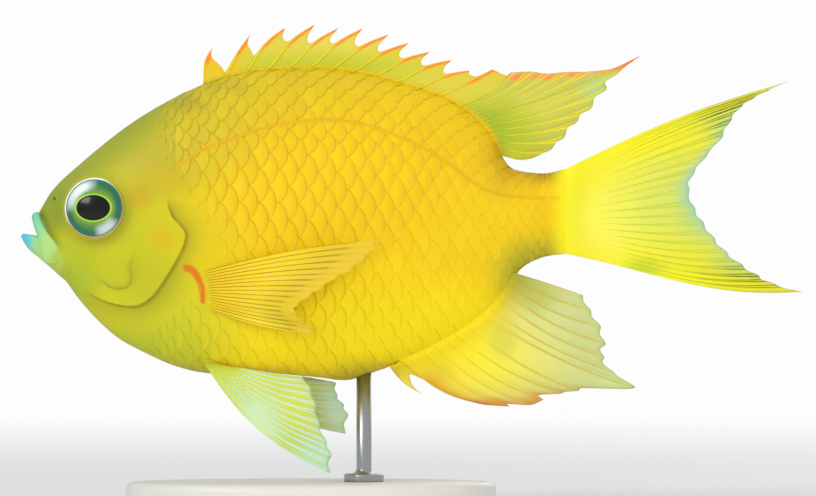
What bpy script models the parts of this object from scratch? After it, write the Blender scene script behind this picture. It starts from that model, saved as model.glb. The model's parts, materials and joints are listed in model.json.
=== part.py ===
"""A yellow chromis, a small reef fish, as a still life-size model on a display stand.

Every part of the fish is its own named solid. Sizes are in millimetres in the fish's own
measures: a station is the distance behind the tip of the lower jaw, a height is measured from
the midline of the tail, and sideways is positive on the fish's right. The fish looks along -X
and its left side faces -Y.
"""

import math

import bmesh
import bpy
import numpy as np
from mathutils import Vector

# Driving sizes
MM = 0.001
GAP = 0.3  # clearance that neighbouring pieces keep
TOTAL_LENGTH = 156.4  # tip of the jaw to the tip of the lower tail lobe
MIDLINE_HEIGHT = 58.0  # the tail's midline over the floor
TAIL_ROOT = 108.9  # station where the caudal rays begin

# The side outline of the flesh, as (station, height)
BACK = (
    (3.2, -0.5), (3.7, 0.5), (4.5, 1.9), (5.7, 3.9), (7.7, 6.3), (11.7, 9.9), (15.7, 13.3),
    (21.7, 17.9), (27.7, 21.7), (33.7, 24.9), (40.7, 27.4), (47.7, 28.9), (58.5, 29.4),
    (67.7, 28.5), (73.7, 27.0), (83.7, 24.0), (88.5, 21.4), (92.3, 18.2), (94.3, 15.8),
    (95.7, 13.0), (96.5, 11.0), (98.3, 9.1), (101.0, 8.5), (104.7, 8.2), (TAIL_ROOT, 9.0),
)
BELLY = (
    (3.2, -1.6), (3.7, -3.0), (4.5, -4.8), (5.6, -6.5), (6.8, -8.0), (7.7, -9.0), (8.4, -9.9),
    (8.9, -13.2), (11.5, -16.9), (15.7, -21.6), (19.7, -25.0), (23.7, -27.2), (31.7, -30.8),
    (36.7, -31.9), (45.7, -32.4), (57.3, -32.6), (64.9, -33.4), (69.1, -32.2), (73.1, -30.9),
    (81.7, -27.4), (91.7, -21.6), (95.7, -17.6), (98.1, -14.0), (99.6, -11.4), (101.7, -9.9),
    (105.7, -8.4), (TAIL_ROOT, -8.0),
)
# Height of the widest level, and the half width there
LEVEL = (
    (3.2, -1.0), (3.7, -2.4), (4.5, -4.0), (5.6, -5.7), (6.8, -7.2), (8.4, -8.0), (11.7, -5.6),
    (15.7, -2.4), (21.7, 0.2), (30.0, 1.8), (45.0, 2.4), (65.0, 1.6), (85.0, 0.6),
    (99.0, -0.6), (TAIL_ROOT, 0.4),
)
HALF_WIDTH = (
    (3.2, 0.7), (3.7, 2.0), (4.5, 3.0), (5.7, 3.7), (7.7, 4.4), (11.7, 5.8), (15.7, 7.1),
    (21.7, 8.9), (27.7, 10.4), (35.0, 11.8), (45.0, 12.8), (55.0, 13.0), (65.0, 12.6),
    (75.0, 11.4), (85.0, 9.3), (92.0, 7.3), (97.0, 5.7), (102.0, 4.2), (106.0, 2.7),
    (TAIL_ROOT, 1.4),
)

# Planes that part the flesh, as ((station, height) on the plane, lean from upright in degrees)
NAPE_CUT = ((26.3, -1.0), 10.9)
TAIL_CUT = ((98.9, 0.0), 0.0)

# Head
EYE_AT = (14.7, 1.15)
EYE_RADIUS = 6.1
EYE_BULGE = 2.9  # half thickness of the eyeball along its own axis
EYE_SINK = 1.2  # depth of the eyeball's centre under the cheek
EYE_RIBS = 20
EYE_RINGS = 8
NOSTRIL_AT = (7.3, 2.6)
NOSTRIL_RADIUS = 0.55
LIP_PATH = ((3.1, -0.6), (3.7, -2.2), (4.5, -4.0), (5.6, -5.7), (6.8, -7.2), (7.6, -8.1))
LIP_SPAN = 4.0  # half the width of the mouth at its corners
LIP_BREADTH = (1.0, 1.35)  # half breadth at the front and near the corners
LIP_DEPTH = 0.95
JAW_TOP = ((0.0, -4.35), (0.6, -3.8), (2.1, -4.1), (3.8, -5.1), (5.6, -7.0), (8.6, -9.8))
JAW_CHIN = ((0.0, -4.5), (0.6, -5.7), (1.5, -7.0), (3.5, -8.7), (6.1, -10.9), (8.6, -13.2))
JAW_RIBS = 16
JAW_HALF_WIDTH = ((0.0, 0.3), (0.6, 1.1), (2.1, 2.1), (3.8, 2.9), (5.6, 3.6), (8.6, 4.5))

# The bony gill cover, from its edge behind the cheek to its free rear edge, top to bottom
COVER_FRONT = (
    (26.6, 3.4), (25.0, -1.5), (23.9, -6.0), (22.6, -9.0), (22.0, -10.6), (22.4, -12.8),
    (21.7, -14.5), (20.3, -15.0), (18.4, -14.8), (16.9, -13.9), (15.3, -12.4), (13.8, -10.9),
)
COVER_REAR = (
    (29.9, 3.9), (29.6, 2.2), (30.6, -0.6), (32.7, -3.0), (33.2, -4.6), (32.4, -7.2),
    (29.6, -12.2), (26.3, -16.6), (22.9, -18.3), (18.0, -17.6), (14.2, -16.0), (12.6, -14.6),
)
COVER_POINTS = 15
COVER_LIFT = 0.6  # how far the free edge stands off the flank
COVER_DEPTH = 1.0  # thickness of the cover under the line of the flank

# Fins, ray by ray: where the tips are, front to back or top to bottom
SPINE_COUNT = 13
SPINE_ROOTS = (36.4, 88.3)  # stations of the first and last dorsal spine
SPINE_BOWS = (0.9, -0.9)  # how far the first spine bends forward and the last bends back
SPINE_TIPS = (
    (38.5, 33.5), (45.9, 36.0), (52.7, 37.2), (58.7, 37.9), (63.5, 37.2), (68.3, 37.1),
    (73.5, 35.9), (77.5, 34.2), (81.7, 32.4), (86.1, 30.8), (89.7, 28.7), (94.2, 28.9),
    (98.0, 28.3),
)
# How far the web reaches up the spines at its lowest, by gap, and its shape along one gap
SPINE_WEB_LOWS = ((0, 0.08), (1, 0.27), (2, 0.56), (6, 0.58), (9, 0.7), (11, 0.9))
SPINE_WEB_SHAPE = ((0.0, 1.0), (0.13, 0.52), (0.38, 0.14), (0.64, 0.0), (0.86, 0.5), (1.0, 1.0))
SOFT_DORSAL_ROOTS = (88.65, 96.3)
SOFT_DORSAL_TIPS = (
    (98.4, 28.0), (101.8, 28.3), (105.2, 28.1), (108.8, 28.4), (113.4, 28.5), (118.6, 29.2),
    (123.7, 31.5), (119.3, 28.0), (116.9, 24.7), (113.9, 21.0), (111.0, 18.2), (108.5, 15.1),
    (105.8, 12.7), (102.4, 11.2),
)
ANAL_ROOTS = (73.8, 99.3)
ANAL_TIPS = (
    (80.5, -36.1), (92.7, -37.9), (97.4, -38.3), (100.7, -37.9), (104.3, -37.2), (107.6, -35.9),
    (111.5, -34.9), (122.7, -34.8), (118.6, -31.7), (116.6, -28.6), (116.9, -25.9),
    (115.9, -22.4), (113.9, -19.2), (112.3, -16.2),
)
UPPER_TAIL_TIPS = (
    (153.7, 26.6), (149.3, 24.6), (146.5, 23.1), (144.1, 21.4), (142.0, 18.6), (140.2, 15.2),
    (137.0, 11.3), (134.6, 8.0), (133.8, 4.85),
)
LOWER_TAIL_TIPS = (
    (133.8, 4.5), (134.8, 1.2), (136.5, -1.6), (138.6, -4.6), (141.0, -7.4), (144.0, -9.9),
    (147.4, -12.2), (150.4, -13.8), (156.4, -15.6),
)
PECTORAL_ROOT = ((37.3, -11.4), (38.3, -19.4))
PECTORAL_TIPS = (
    (72.4, -5.0), (71.2, -6.9), (68.8, -9.1), (66.2, -11.2), (63.0, -13.0), (60.3, -14.9),
    (57.7, -16.6), (55.6, -18.2), (55.3, -19.6), (56.7, -21.2), (58.9, -22.6), (58.4, -24.0),
)
PECTORAL_HUG = 0.14  # share of the fin that lies along the flank before it stands out
PECTORAL_SPREAD = 9.0  # how far the tips stand off the flank
PELVIC_ROOT = (36.7, 42.6)  # stations of its first and last ray
PELVIC_ASIDE = 4.2  # distance of the roots from the keel
LEFT_PELVIC_TIPS = (
    (61.9, -51.6), (62.2, -47.9), (61.2, -45.2), (59.8, -41.6), (59.0, -37.8), (57.9, -34.6),
    (56.2, -32.2),
)
RIGHT_PELVIC_TIPS = (
    (64.8, -44.2), (65.4, -40.4), (64.5, -38.2), (63.2, -36.2), (62.9, -33.9), (60.6, -33.3),
    (58.0, -32.8),
)
LEFT_PELVIC_SPLAY = 0.22  # sideways for each millimetre down
RIGHT_PELVIC_SPLAY = 0.4

WEB = 0.27  # half thickness of a fin's membrane
RAY = 0.5  # half thickness of a soft ray at its root
SPINE = 0.62  # half thickness of a spine at its root

# Display stand
BASE_SIZE = (74.0, 48.0, 4.5)
BASE_CENTRE = 58.0  # station under the fish's centre of mass
BASE_SIDES = 48
ROD_STATION = 68.6
ROD_RADIUS = 1.5
FOOT_RADIUS = 4.0
FOOT_HEIGHT = 1.4
ROD_SIDES = 16

# Facets
BODY_RIBS = 36  # a multiple of four, which puts a rib on the back and on the keel
BODY_STATIONS = 44


def through(points, at):
    """A smooth curve through a few (x, y) points that never swings past them (monotone cubic)."""
    x, y = (np.array(column, float) for column in zip(*points))
    width = np.diff(x)
    rise = np.diff(y) / width
    slope = np.zeros(len(x))
    same_way = rise[:-1] * rise[1:] > 0
    left, right = rise[:-1][same_way], rise[1:][same_way]
    slope[1:-1][same_way] = 2 * left * right / (left + right)
    slope[0], slope[-1] = rise[0], rise[-1]
    at = np.clip(np.asarray(at, float), x[0], x[-1])
    i = np.clip(np.searchsorted(x, at) - 1, 0, len(x) - 2)
    t = (at - x[i]) / width[i]
    return (
        y[i] * (1 + 2 * t) * (1 - t) ** 2
        + y[i + 1] * t * t * (3 - 2 * t)
        + width[i] * (slope[i] * t * (1 - t) ** 2 - slope[i + 1] * t * t * (1 - t))
    )


def along(points, share):
    """The point of a smooth line through (station, height) points, at a share of its count."""
    count = np.arange(len(points))
    share = np.asarray(share, float) * (len(points) - 1)
    return np.stack([through(list(zip(count, column)), share) for column in zip(*points)], -1)


def flank(station, height):
    """Half width of the flesh at a station and height: half an ellipse above the widest level
    and half of another below it."""
    level = through(LEVEL, station)
    above = (height - level) / (through(BACK, station) - level)
    below = (level - height) / (level - through(BELLY, station))
    share = np.clip(np.where(height > level, above, below), 0, 0.999)
    return through(HALF_WIDTH, station) * np.sqrt(1 - share**2)


def underside(station, aside):
    """Height of the belly's surface at a distance from the keel."""
    level = through(LEVEL, station)
    share = np.clip(aside / through(HALF_WIDTH, station), 0, 0.999)
    return level - (level - through(BELLY, station)) * np.sqrt(1 - share**2)


def off_line(line, ends, count, way):
    """Evenly spaced root points on the back (way 1) or belly (way -1), between two stations,
    moved out by the gap at right angles to the facets of the body."""
    step = 0.1
    station = np.linspace(*ends, count)
    rings = body_stations()
    before, here, after = (np.interp(station + shift, rings, through(line, rings))
                           for shift in (-step, 0, step))
    rise = (after - before) / (2 * step)
    length = np.sqrt(1 + rise**2)
    return list(zip(station - way * GAP * rise / length, here + way * GAP / length))


def to_world(points):
    """Fish measures (station, sideways, height) in millimetres to metres in the part's frame."""
    points = np.asarray(points, float)
    return (points + (-TOTAL_LENGTH / 2, 0, MIDLINE_HEIGHT)) * MM


def paint(name, colour, roughness, metallic=0.0):
    """One Principled material."""
    material = bpy.data.materials.new(name)
    material.use_nodes = True
    shader = material.node_tree.nodes["Principled BSDF"]
    shader.inputs["Base Color"].default_value = (*colour, 1)
    shader.inputs["Roughness"].default_value = roughness
    shader.inputs["Metallic"].default_value = metallic
    return material


def add_solid(name, points, faces, material):
    """An object from points in fish measures, with its faces pointing out."""
    mesh = bpy.data.meshes.new(name)
    mesh.from_pydata([tuple(p) for p in to_world(points).reshape(-1, 3)], [], faces)
    work = bmesh.new()
    work.from_mesh(mesh)
    bmesh.ops.recalc_face_normals(work, faces=work.faces)
    if work.calc_volume(signed=True) < 0:
        bmesh.ops.reverse_faces(work, faces=work.faces)
    work.to_mesh(mesh)
    work.free()
    mesh.materials.append(material)
    mesh.shade_smooth()
    thing = bpy.data.objects.new(name, mesh)
    bpy.context.scene.collection.objects.link(thing)
    return thing


def loft_faces(rings, ribs):
    """Quads between rings of points, with a cap on each end."""
    faces = [tuple(range(ribs)), tuple(range((rings - 1) * ribs, rings * ribs))]
    for ring in range(rings - 1):
        for rib in range(ribs):
            after = (rib + 1) % ribs
            faces.append((ring * ribs + rib, ring * ribs + after,
                          (ring + 1) * ribs + after, (ring + 1) * ribs + rib))
    return faces


def egg_rings(stations, top, bottom, level, half_width, ribs):
    """Upright rings, each half an ellipse over its widest level and half of another under it."""
    turn = np.linspace(0, 2 * math.pi, ribs, endpoint=False)
    sine = np.sin(turn)
    rise = np.where(sine > 0, (top - level)[:, None], (level - bottom)[:, None]) * sine
    sideways = half_width[:, None] * np.cos(turn)
    return np.stack([np.broadcast_to(stations[:, None], rise.shape), sideways,
                     level[:, None] + rise], -1)


def body_stations():
    """Stations of the body's rings, closer together at the snout and where the tail narrows."""
    share = np.linspace(0, 1, BODY_STATIONS)
    crowding = 0.62 * share + 0.38 * share**2.4
    return 3.2 + (TAIL_ROOT - 3.2) * crowding


def add_flesh(name, material):
    """The whole body from the snout to the root of the tail fin, as one closed solid."""
    stations = body_stations()
    rings = egg_rings(stations, through(BACK, stations), through(BELLY, stations),
                      through(LEVEL, stations), through(HALF_WIDTH, stations), BODY_RIBS)
    return add_solid(name, rings, loft_faces(len(stations), BODY_RIBS), material)


def keep_side(thing, cut, front):
    """Keeps the flesh in front of or behind a leaning plane, half a gap away from it."""
    (station, height), lean = cut
    tilt = math.radians(lean)
    normal = np.array([math.cos(tilt), 0, -math.sin(tilt)])
    way = -1 if front else 1
    on_plane = np.array([station, 0, height]) + normal * way * GAP / 2
    work = bmesh.new()
    work.from_mesh(thing.data)
    bmesh.ops.bisect_plane(
        work, geom=[*work.verts, *work.edges, *work.faces],
        plane_co=Vector(to_world(on_plane)), plane_no=Vector(normal * way), clear_inner=True)
    bmesh.ops.holes_fill(work, edges=work.edges, sides=0)
    bmesh.ops.recalc_face_normals(work, faces=work.faces)
    work.to_mesh(thing.data)
    work.free()


def grown_copy(thing, gap):
    """A cutter: a copy whose skin is moved out by the gap."""
    cutter = thing.copy()
    cutter.data = thing.data.copy()
    bpy.context.scene.collection.objects.link(cutter)
    work = bmesh.new()
    work.from_mesh(cutter.data)
    bmesh.ops.triangulate(work, faces=work.faces)
    work.normal_update()
    moves = [v.normal * gap * MM * min(v.calc_shell_factor(), 2) for v in work.verts]
    for vertex, move in zip(work.verts, moves):
        vertex.co += move
    work.to_mesh(cutter.data)
    work.free()
    return cutter


def carve(thing, cutters):
    """Cuts the cutters out of a solid, applies the cut, removes the cutters and keeps the
    largest closed body."""
    for cutter in cutters:
        change = thing.modifiers.new("cut", "BOOLEAN")
        change.operation = "DIFFERENCE"
        change.solver = "EXACT"
        change.object = cutter
    shaped = thing.evaluated_get(bpy.context.evaluated_depsgraph_get())
    mesh = bpy.data.meshes.new_from_object(shaped)
    thing.modifiers.clear()
    thing.data = mesh
    for cutter in cutters:
        bpy.data.objects.remove(cutter)
    keep_largest(thing)


def keep_largest(thing):
    """Drops loose scraps that a cut leaves."""
    work = bmesh.new()
    work.from_mesh(thing.data)
    left = set(work.verts)
    islands = []
    while left:
        island, edge = set(), [left.pop()]
        while edge:
            vertex = edge.pop()
            island.add(vertex)
            for link in vertex.link_edges:
                other = link.other_vert(vertex)
                if other in left:
                    left.discard(other)
                    edge.append(other)
        islands.append(island)
    islands.sort(key=len)
    scraps = [vertex for island in islands[:-1] for vertex in island]
    bmesh.ops.delete(work, geom=scraps, context="VERTS")
    work.to_mesh(thing.data)
    work.free()


def cheek_axis(side):
    """The point of the cheek over the eye's centre, and the way the cheek faces there."""
    station, height = EYE_AT
    step = 2.0
    point = np.array([station, side * float(flank(station, height)), height])
    fore = (flank(station + step, height) - flank(station - step, height)) / (2 * step)
    up = (flank(station, height + step) - flank(station, height - step)) / (2 * step)
    facing = np.array([-float(fore), side, -float(up)])
    return point, facing / np.linalg.norm(facing)


def add_eye(name, side, material):
    """A flattened ball whose short axis stands at right angles to the cheek."""
    point, facing = cheek_axis(side)
    centre = point - facing * EYE_SINK
    ahead = np.cross(facing, (0, 0, 1))
    ahead /= np.linalg.norm(ahead)
    upward = np.cross(ahead, facing)
    turn = np.linspace(0, 2 * math.pi, EYE_RIBS, endpoint=False)
    slope = np.linspace(0.12, math.pi - 0.12, EYE_RINGS)
    out = np.cos(slope)[:, None, None] * EYE_BULGE * facing
    around = np.sin(slope)[:, None, None] * EYE_RADIUS * (
        np.cos(turn)[:, None] * ahead + np.sin(turn)[:, None] * upward)
    return add_solid(name, centre + out + around, loft_faces(EYE_RINGS, EYE_RIBS), material)


def add_ball(centre, radius, ribs=12):
    """A small round cutter."""
    turn = np.linspace(0, 2 * math.pi, ribs, endpoint=False)
    slope = np.linspace(0.3, math.pi - 0.3, ribs // 2)
    ring = np.stack([np.cos(turn), np.sin(turn), 0 * turn], -1)
    points = np.sin(slope)[:, None, None] * ring + np.cos(slope)[:, None, None] * (0, 0, 1)
    return add_solid("ball", np.array(centre) + points * radius, loft_faces(ribs // 2, ribs), None)


def add_upper_lip(material):
    """A rolled lip swept round the front of the snout, from one corner of the mouth to the
    other, widest beside the corners and drawn to a blunt end there."""
    steps, ribs = 21, 10
    turn = np.linspace(-math.pi / 2, math.pi / 2, steps)
    share = 1 - np.cos(turn)
    side_view = along(LIP_PATH, share)
    path = np.stack([side_view[:, 0], LIP_SPAN * np.sin(turn), side_view[:, 1]], -1)
    tangent = np.gradient(path, axis=0)
    tangent /= np.linalg.norm(tangent, axis=1)[:, None]
    middle = np.array([LIP_PATH[-1][0] + 1.5, 0.0, LIP_PATH[2][1]])
    outward = path - middle
    outward -= (outward * tangent).sum(1)[:, None] * tangent
    outward /= np.linalg.norm(outward, axis=1)[:, None]
    beside = np.cross(tangent, outward)
    closing = np.clip(1 - np.abs(np.sin(turn)) ** 24, 0.3, 1)
    breadth = (LIP_BREADTH[0] + (LIP_BREADTH[1] - LIP_BREADTH[0]) * share) * closing
    depth = LIP_DEPTH * (1 - 0.25 * share) * closing
    round_it = np.linspace(0, 2 * math.pi, ribs, endpoint=False)
    rings = (path[:, None] + outward[:, None] * (depth[:, None] * np.cos(round_it))[..., None]
             + beside[:, None] * (breadth[:, None] * np.sin(round_it))[..., None])
    return add_solid("upper_lip", rings, loft_faces(steps, ribs), material)


def add_lower_jaw(material):
    """The lower jaw: a scoop that is flat on top and round below."""
    stations = np.array([0.0, 0.25, 0.6, 1.2, 2.1, 3.3, 4.6, 5.9, 7.2, 8.5])
    top, chin = through(JAW_TOP, stations), through(JAW_CHIN, stations)
    rings = egg_rings(stations, top, chin, top - 0.28 * (top - chin),
                      through(JAW_HALF_WIDTH, stations), JAW_RIBS)
    return add_solid("lower_jaw", rings, loft_faces(len(stations), JAW_RIBS), material)


def cover_outline(points, grow, way):
    """A line of the gill cover's outline, moved sideways and longer at both ends by grow."""
    share = np.linspace(0, 1, COVER_POINTS)
    line = along(points, share)
    tangent = np.gradient(line, axis=0)
    tangent /= np.linalg.norm(tangent, axis=1)[:, None]
    line = line + way * grow * np.stack([-tangent[:, 1], tangent[:, 0]], -1)
    line[0] -= tangent[0] * grow
    line[-1] += tangent[-1] * grow
    return line


def add_cover(name, side, material, grow=0.0, proud=0.0):
    """The gill cover: a crescent plate let into the flank, whose rear edge stands proud."""
    front = cover_outline(COVER_FRONT, grow, -1)
    rear = cover_outline(COVER_REAR, grow, 1)
    across = np.linspace(0, 1, 4)[None, :, None]
    flat = front[:, None] * (1 - across) + rear[:, None] * across
    surface = flank(flat[..., 0], flat[..., 1])
    outer = surface + COVER_LIFT * across[..., 0] ** 1.5 + proud
    inner = surface - COVER_DEPTH - grow
    middle = np.stack([flat[..., 0], side * (outer + inner) / 2, flat[..., 1]], -1)
    return add_sheet(name, middle, (outer - inner) / 2, material)


def add_sheet(name, middle, half, material, facing=(0, 1, 0)):
    """A closed thin solid: a grid of points moved half a thickness to each side, with both
    faces split into triangles alike and a rim round them."""
    rows, columns = half.shape
    shift = half[..., None] * np.array(facing, float)
    points = np.concatenate([(middle - shift).reshape(-1, 3), (middle + shift).reshape(-1, 3)])
    other = rows * columns
    faces = []
    for r in range(rows - 1):
        for c in range(columns - 1):
            a, b = r * columns + c, r * columns + c + 1
            d, e = a + columns, b + columns
            faces += [(a, b, e), (a, e, d)]
            faces += [(other + e, other + b, other + a), (other + d, other + e, other + a)]
    edge = [c for c in range(columns)]
    edge += [r * columns + columns - 1 for r in range(1, rows)]
    edge += [(rows - 1) * columns + c for c in range(columns - 2, -1, -1)]
    edge += [r * columns for r in range(rows - 2, 0, -1)]
    for here, after in zip(edge, edge[1:] + edge[:1]):
        faces += [(after, here, other + here), (after, other + here, other + after)]
    return add_solid(name, points, faces, material)


def ray_columns(count, steps):
    """Positions along a fin in ray numbers, with the steps of each web between two rays."""
    return np.array([ray + step for ray in range(count - 1) for step in steps] + [count - 1])


def fin_grid(roots, tips, columns, reach, bow, rows, late=1.0):
    """Points of a fin in side view. Each column runs from the root line to the line of the
    tips, as far as its reach, and bends by its bow, at mid length or as late as asked."""
    share = columns / columns[-1]
    low, high = along(roots, share), along_straight(tips, columns)
    way = high - low
    square = np.stack([-way[:, 1], way[:, 0]], -1)
    square /= np.linalg.norm(square, axis=1)[:, None]
    out = rows[:, None] * reach
    bend = np.sin(math.pi * np.clip(out, 0, 1) ** late) * bow
    return low + out[..., None] * way + bend[..., None] * square


def along_straight(points, at):
    """Points of the straight line from tip to tip, at positions in ray numbers."""
    count = np.arange(len(points))
    return np.stack([np.interp(at, count, column) for column in zip(*points)], -1)


def ray_crest(columns):
    """1 on a ray, falling to 0 halfway to the next one."""
    off = np.abs(columns - np.round(columns))
    return np.clip(1 - off / 0.3, 0, 1)


def add_spiny_dorsal(material):
    """The spiny part of the dorsal fin: thirteen spines leaning back, each joined to the next
    by a web that is cut away in a hook behind its tip."""
    steps = [step for step, _ in SPINE_WEB_SHAPE[:-1]]
    columns = ray_columns(SPINE_COUNT, steps)
    roots = off_line(BACK, SPINE_ROOTS, SPINE_COUNT, 1)
    low = through(SPINE_WEB_LOWS, np.floor(columns))
    reach = low + (1 - low) * np.interp(columns % 1, *zip(*SPINE_WEB_SHAPE))
    rows = np.array([0, 0.25, 0.5, 0.75, 1.0])
    bows = np.interp(columns, (0, 5, SPINE_COUNT - 1), (SPINE_BOWS[0], SPINE_BOWS[1], SPINE_BOWS[1]))
    flat = fin_grid(roots, SPINE_TIPS, columns, reach, bows, rows)
    taper = 1 - 0.6 * rows[:, None]
    half = WEB + (SPINE - WEB) * ray_crest(columns) * taper
    middle = np.stack([flat[..., 0], 0 * half, flat[..., 1]], -1)
    return add_sheet("dorsal_fin_spiny", middle, half, material)


def add_soft_fin(name, roots, tips, material, bow, web_reach=0.98, rows=7, ruffle=0.0,
                 late=1.0, root_half=None):
    """A soft fin in the fish's middle plane. Bow is the bend of its first and last ray."""
    steps = (0.0, 0.3, 0.7)
    columns = ray_columns(len(tips), steps)
    share = columns / columns[-1]
    reach = np.where(columns % 1 == 0, 1.0, web_reach)
    out = np.linspace(0, 1, rows)
    bows = bow[0] + (bow[1] - bow[0]) * share
    flat = fin_grid(roots, tips, columns, reach, bows, out, late)
    half = WEB + (RAY - WEB) * ray_crest(columns) * (1 - 0.7 * out[:, None])
    if root_half is not None:
        half = half + (root_half(share) - half) * np.clip(1 - out[:, None] / 0.3, 0, 1) ** 2
    wave = ruffle * np.sin(math.pi * 2.2 * share + 0.6) * out[:, None] ** 2
    middle = np.stack([flat[..., 0], wave, flat[..., 1]], -1)
    return add_sheet(name, middle, half, material)


def add_anal_fin(material):
    """The anal fin: two spines, the first free at its tip, then soft rays drawn to a point."""
    steps = (0.0, 0.3, 0.7)
    columns = ray_columns(len(ANAL_TIPS), steps)
    share = columns / columns[-1]
    reach = np.where(columns % 1 == 0, 1.0, 0.98)
    behind_first = (columns > 0) & (columns < 1)
    reach[behind_first] = np.interp(columns[behind_first], [0.3, 0.7], [0.5, 0.36])
    roots = off_line(BELLY, ANAL_ROOTS, len(ANAL_TIPS), -1)
    out = np.linspace(0, 1, 7)
    bow = np.where(columns < 1, -0.7, -1.5 + 2.0 * share)
    flat = fin_grid(roots, ANAL_TIPS, columns, reach, bow, out)
    crest = ray_crest(columns)
    root_half = np.where(columns < 1.5, SPINE, RAY)
    half = WEB + (root_half - WEB) * crest * (1 - 0.7 * out[:, None])
    wave = 0.7 * np.sin(math.pi * 2 * share) * out[:, None] ** 2
    middle = np.stack([flat[..., 0], wave, flat[..., 1]], -1)
    return add_sheet("anal_fin", middle, half, material)


def tail_end_half(height):
    """Half thickness of the tail's end face at a height, at least a ray thick."""
    level, top, bottom = (float(through(line, TAIL_ROOT)) for line in (LEVEL, BACK, BELLY))
    reach = np.where(height > level, top - level, level - bottom)
    share = np.clip(np.abs(height - level) / reach, 0, 1)
    return np.maximum(float(through(HALF_WIDTH, TAIL_ROOT)) * np.sqrt(1 - share**2), RAY)


def add_tail_lobe(name, heights, tips, bow, late, material):
    """One lobe of the caudal fin, as thick at its root as the end of the tail."""
    station = TAIL_ROOT + GAP
    roots = [(station, height) for height in np.linspace(*heights, len(tips))]
    return add_soft_fin(
        name, roots, tips, material, bow, web_reach=0.985, ruffle=0.5, late=late,
        root_half=lambda share: tail_end_half(heights[0] + (heights[1] - heights[0]) * share))


def add_pectoral(name, side, material):
    """A pectoral fin: it hugs the flank at its root and then stands out from it."""
    columns = ray_columns(len(PECTORAL_TIPS), (0.0, 0.3, 0.7))
    share = columns / columns[-1]
    reach = np.where(columns % 1 == 0, 1.0, 0.97)
    rows = np.array([0, 0.14, 0.35, 0.57, 0.79, 1.0])
    flat = fin_grid(PECTORAL_ROOT, PECTORAL_TIPS, columns, reach, 0.9 - 1.6 * share, rows)
    half = WEB + (RAY - WEB) * ray_crest(columns) * (1 - 0.7 * rows[:, None])
    off = np.clip((rows - PECTORAL_HUG) / (1 - PECTORAL_HUG), 0, 1)[:, None]
    spread = PECTORAL_SPREAD * off**1.2 * (1 - 0.35 * share)
    surface = flank(flat[..., 0], flat[..., 1])
    aside = surface + GAP + 0.1 + half + spread
    middle = np.stack([flat[..., 0], side * aside, flat[..., 1]], -1)
    return add_sheet(name, middle, half, material)


def add_pelvic(name, side, tips, splay, material):
    """A pelvic fin hanging from the belly beside the keel, its first ray drawn to a thread."""
    columns = ray_columns(len(tips), (0.0, 0.3, 0.7))
    share = columns / columns[-1]
    reach = np.where(columns % 1 == 0, 1.0, 0.975)
    rows = np.linspace(0, 1, 7)
    stations = np.linspace(*PELVIC_ROOT, len(tips))
    heights = underside(stations, PELVIC_ASIDE - WEB) - GAP - 0.05
    flat = fin_grid(list(zip(stations, heights)), tips, columns, reach, -2.9 + 2.6 * share, rows)
    half = WEB + (RAY + 0.1 - WEB) * ray_crest(columns) * (1 - 0.7 * rows[:, None])
    drop = flat[0][None, :, 1] - flat[..., 1]
    aside = PELVIC_ASIDE + splay * np.clip(drop, 0, None) + 1.1 * rows[:, None] * share
    middle = np.stack([flat[..., 0], side * aside, flat[..., 1]], -1)
    return add_sheet(name, middle, half, material)


def add_base(material):
    """The stand's base: an oval plate with a rounded upper edge."""
    length, depth, height = BASE_SIZE
    turn = np.linspace(0, 2 * math.pi, BASE_SIDES, endpoint=False)
    floor = -MIDLINE_HEIGHT
    rounding = np.array([math.radians(a) for a in (0, 22.5, 45, 67.5, 90)])
    radius = 1.6
    insets = [0.4, 0.0, *(radius * (1 - np.cos(rounding)))]
    levels = [0.0, 0.4, *(height - radius + radius * np.sin(rounding))]
    rings = [np.stack([BASE_CENTRE + (length / 2 - inset) * np.cos(turn),
                       (depth / 2 - inset) * np.sin(turn),
                       0 * turn + floor + level], -1)
             for inset, level in zip(insets, levels)]
    return add_solid("stand_base", np.array(rings), loft_faces(len(rings), BASE_SIDES), material)


def add_rod(material):
    """The stand's rod, turned in one piece with its foot, running up past the belly's skin."""
    foot = -MIDLINE_HEIGHT + BASE_SIZE[2] + GAP
    top = float(through(BELLY, ROD_STATION)) + 2.0
    profile = ((FOOT_RADIUS - 0.3, 0), (FOOT_RADIUS, 0.3), (FOOT_RADIUS, FOOT_HEIGHT - 0.4),
               (FOOT_RADIUS - 0.4, FOOT_HEIGHT), (ROD_RADIUS + 0.5, FOOT_HEIGHT + 0.1),
               (ROD_RADIUS, FOOT_HEIGHT + 0.7), (ROD_RADIUS, top - foot))
    turn = np.linspace(0, 2 * math.pi, ROD_SIDES, endpoint=False)
    rings = [np.stack([ROD_STATION + r * np.cos(turn), r * np.sin(turn), 0 * turn + foot + h], -1)
             for r, h in profile]
    return add_solid("stand_rod", np.array(rings), loft_faces(len(rings), ROD_SIDES), material)


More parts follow.
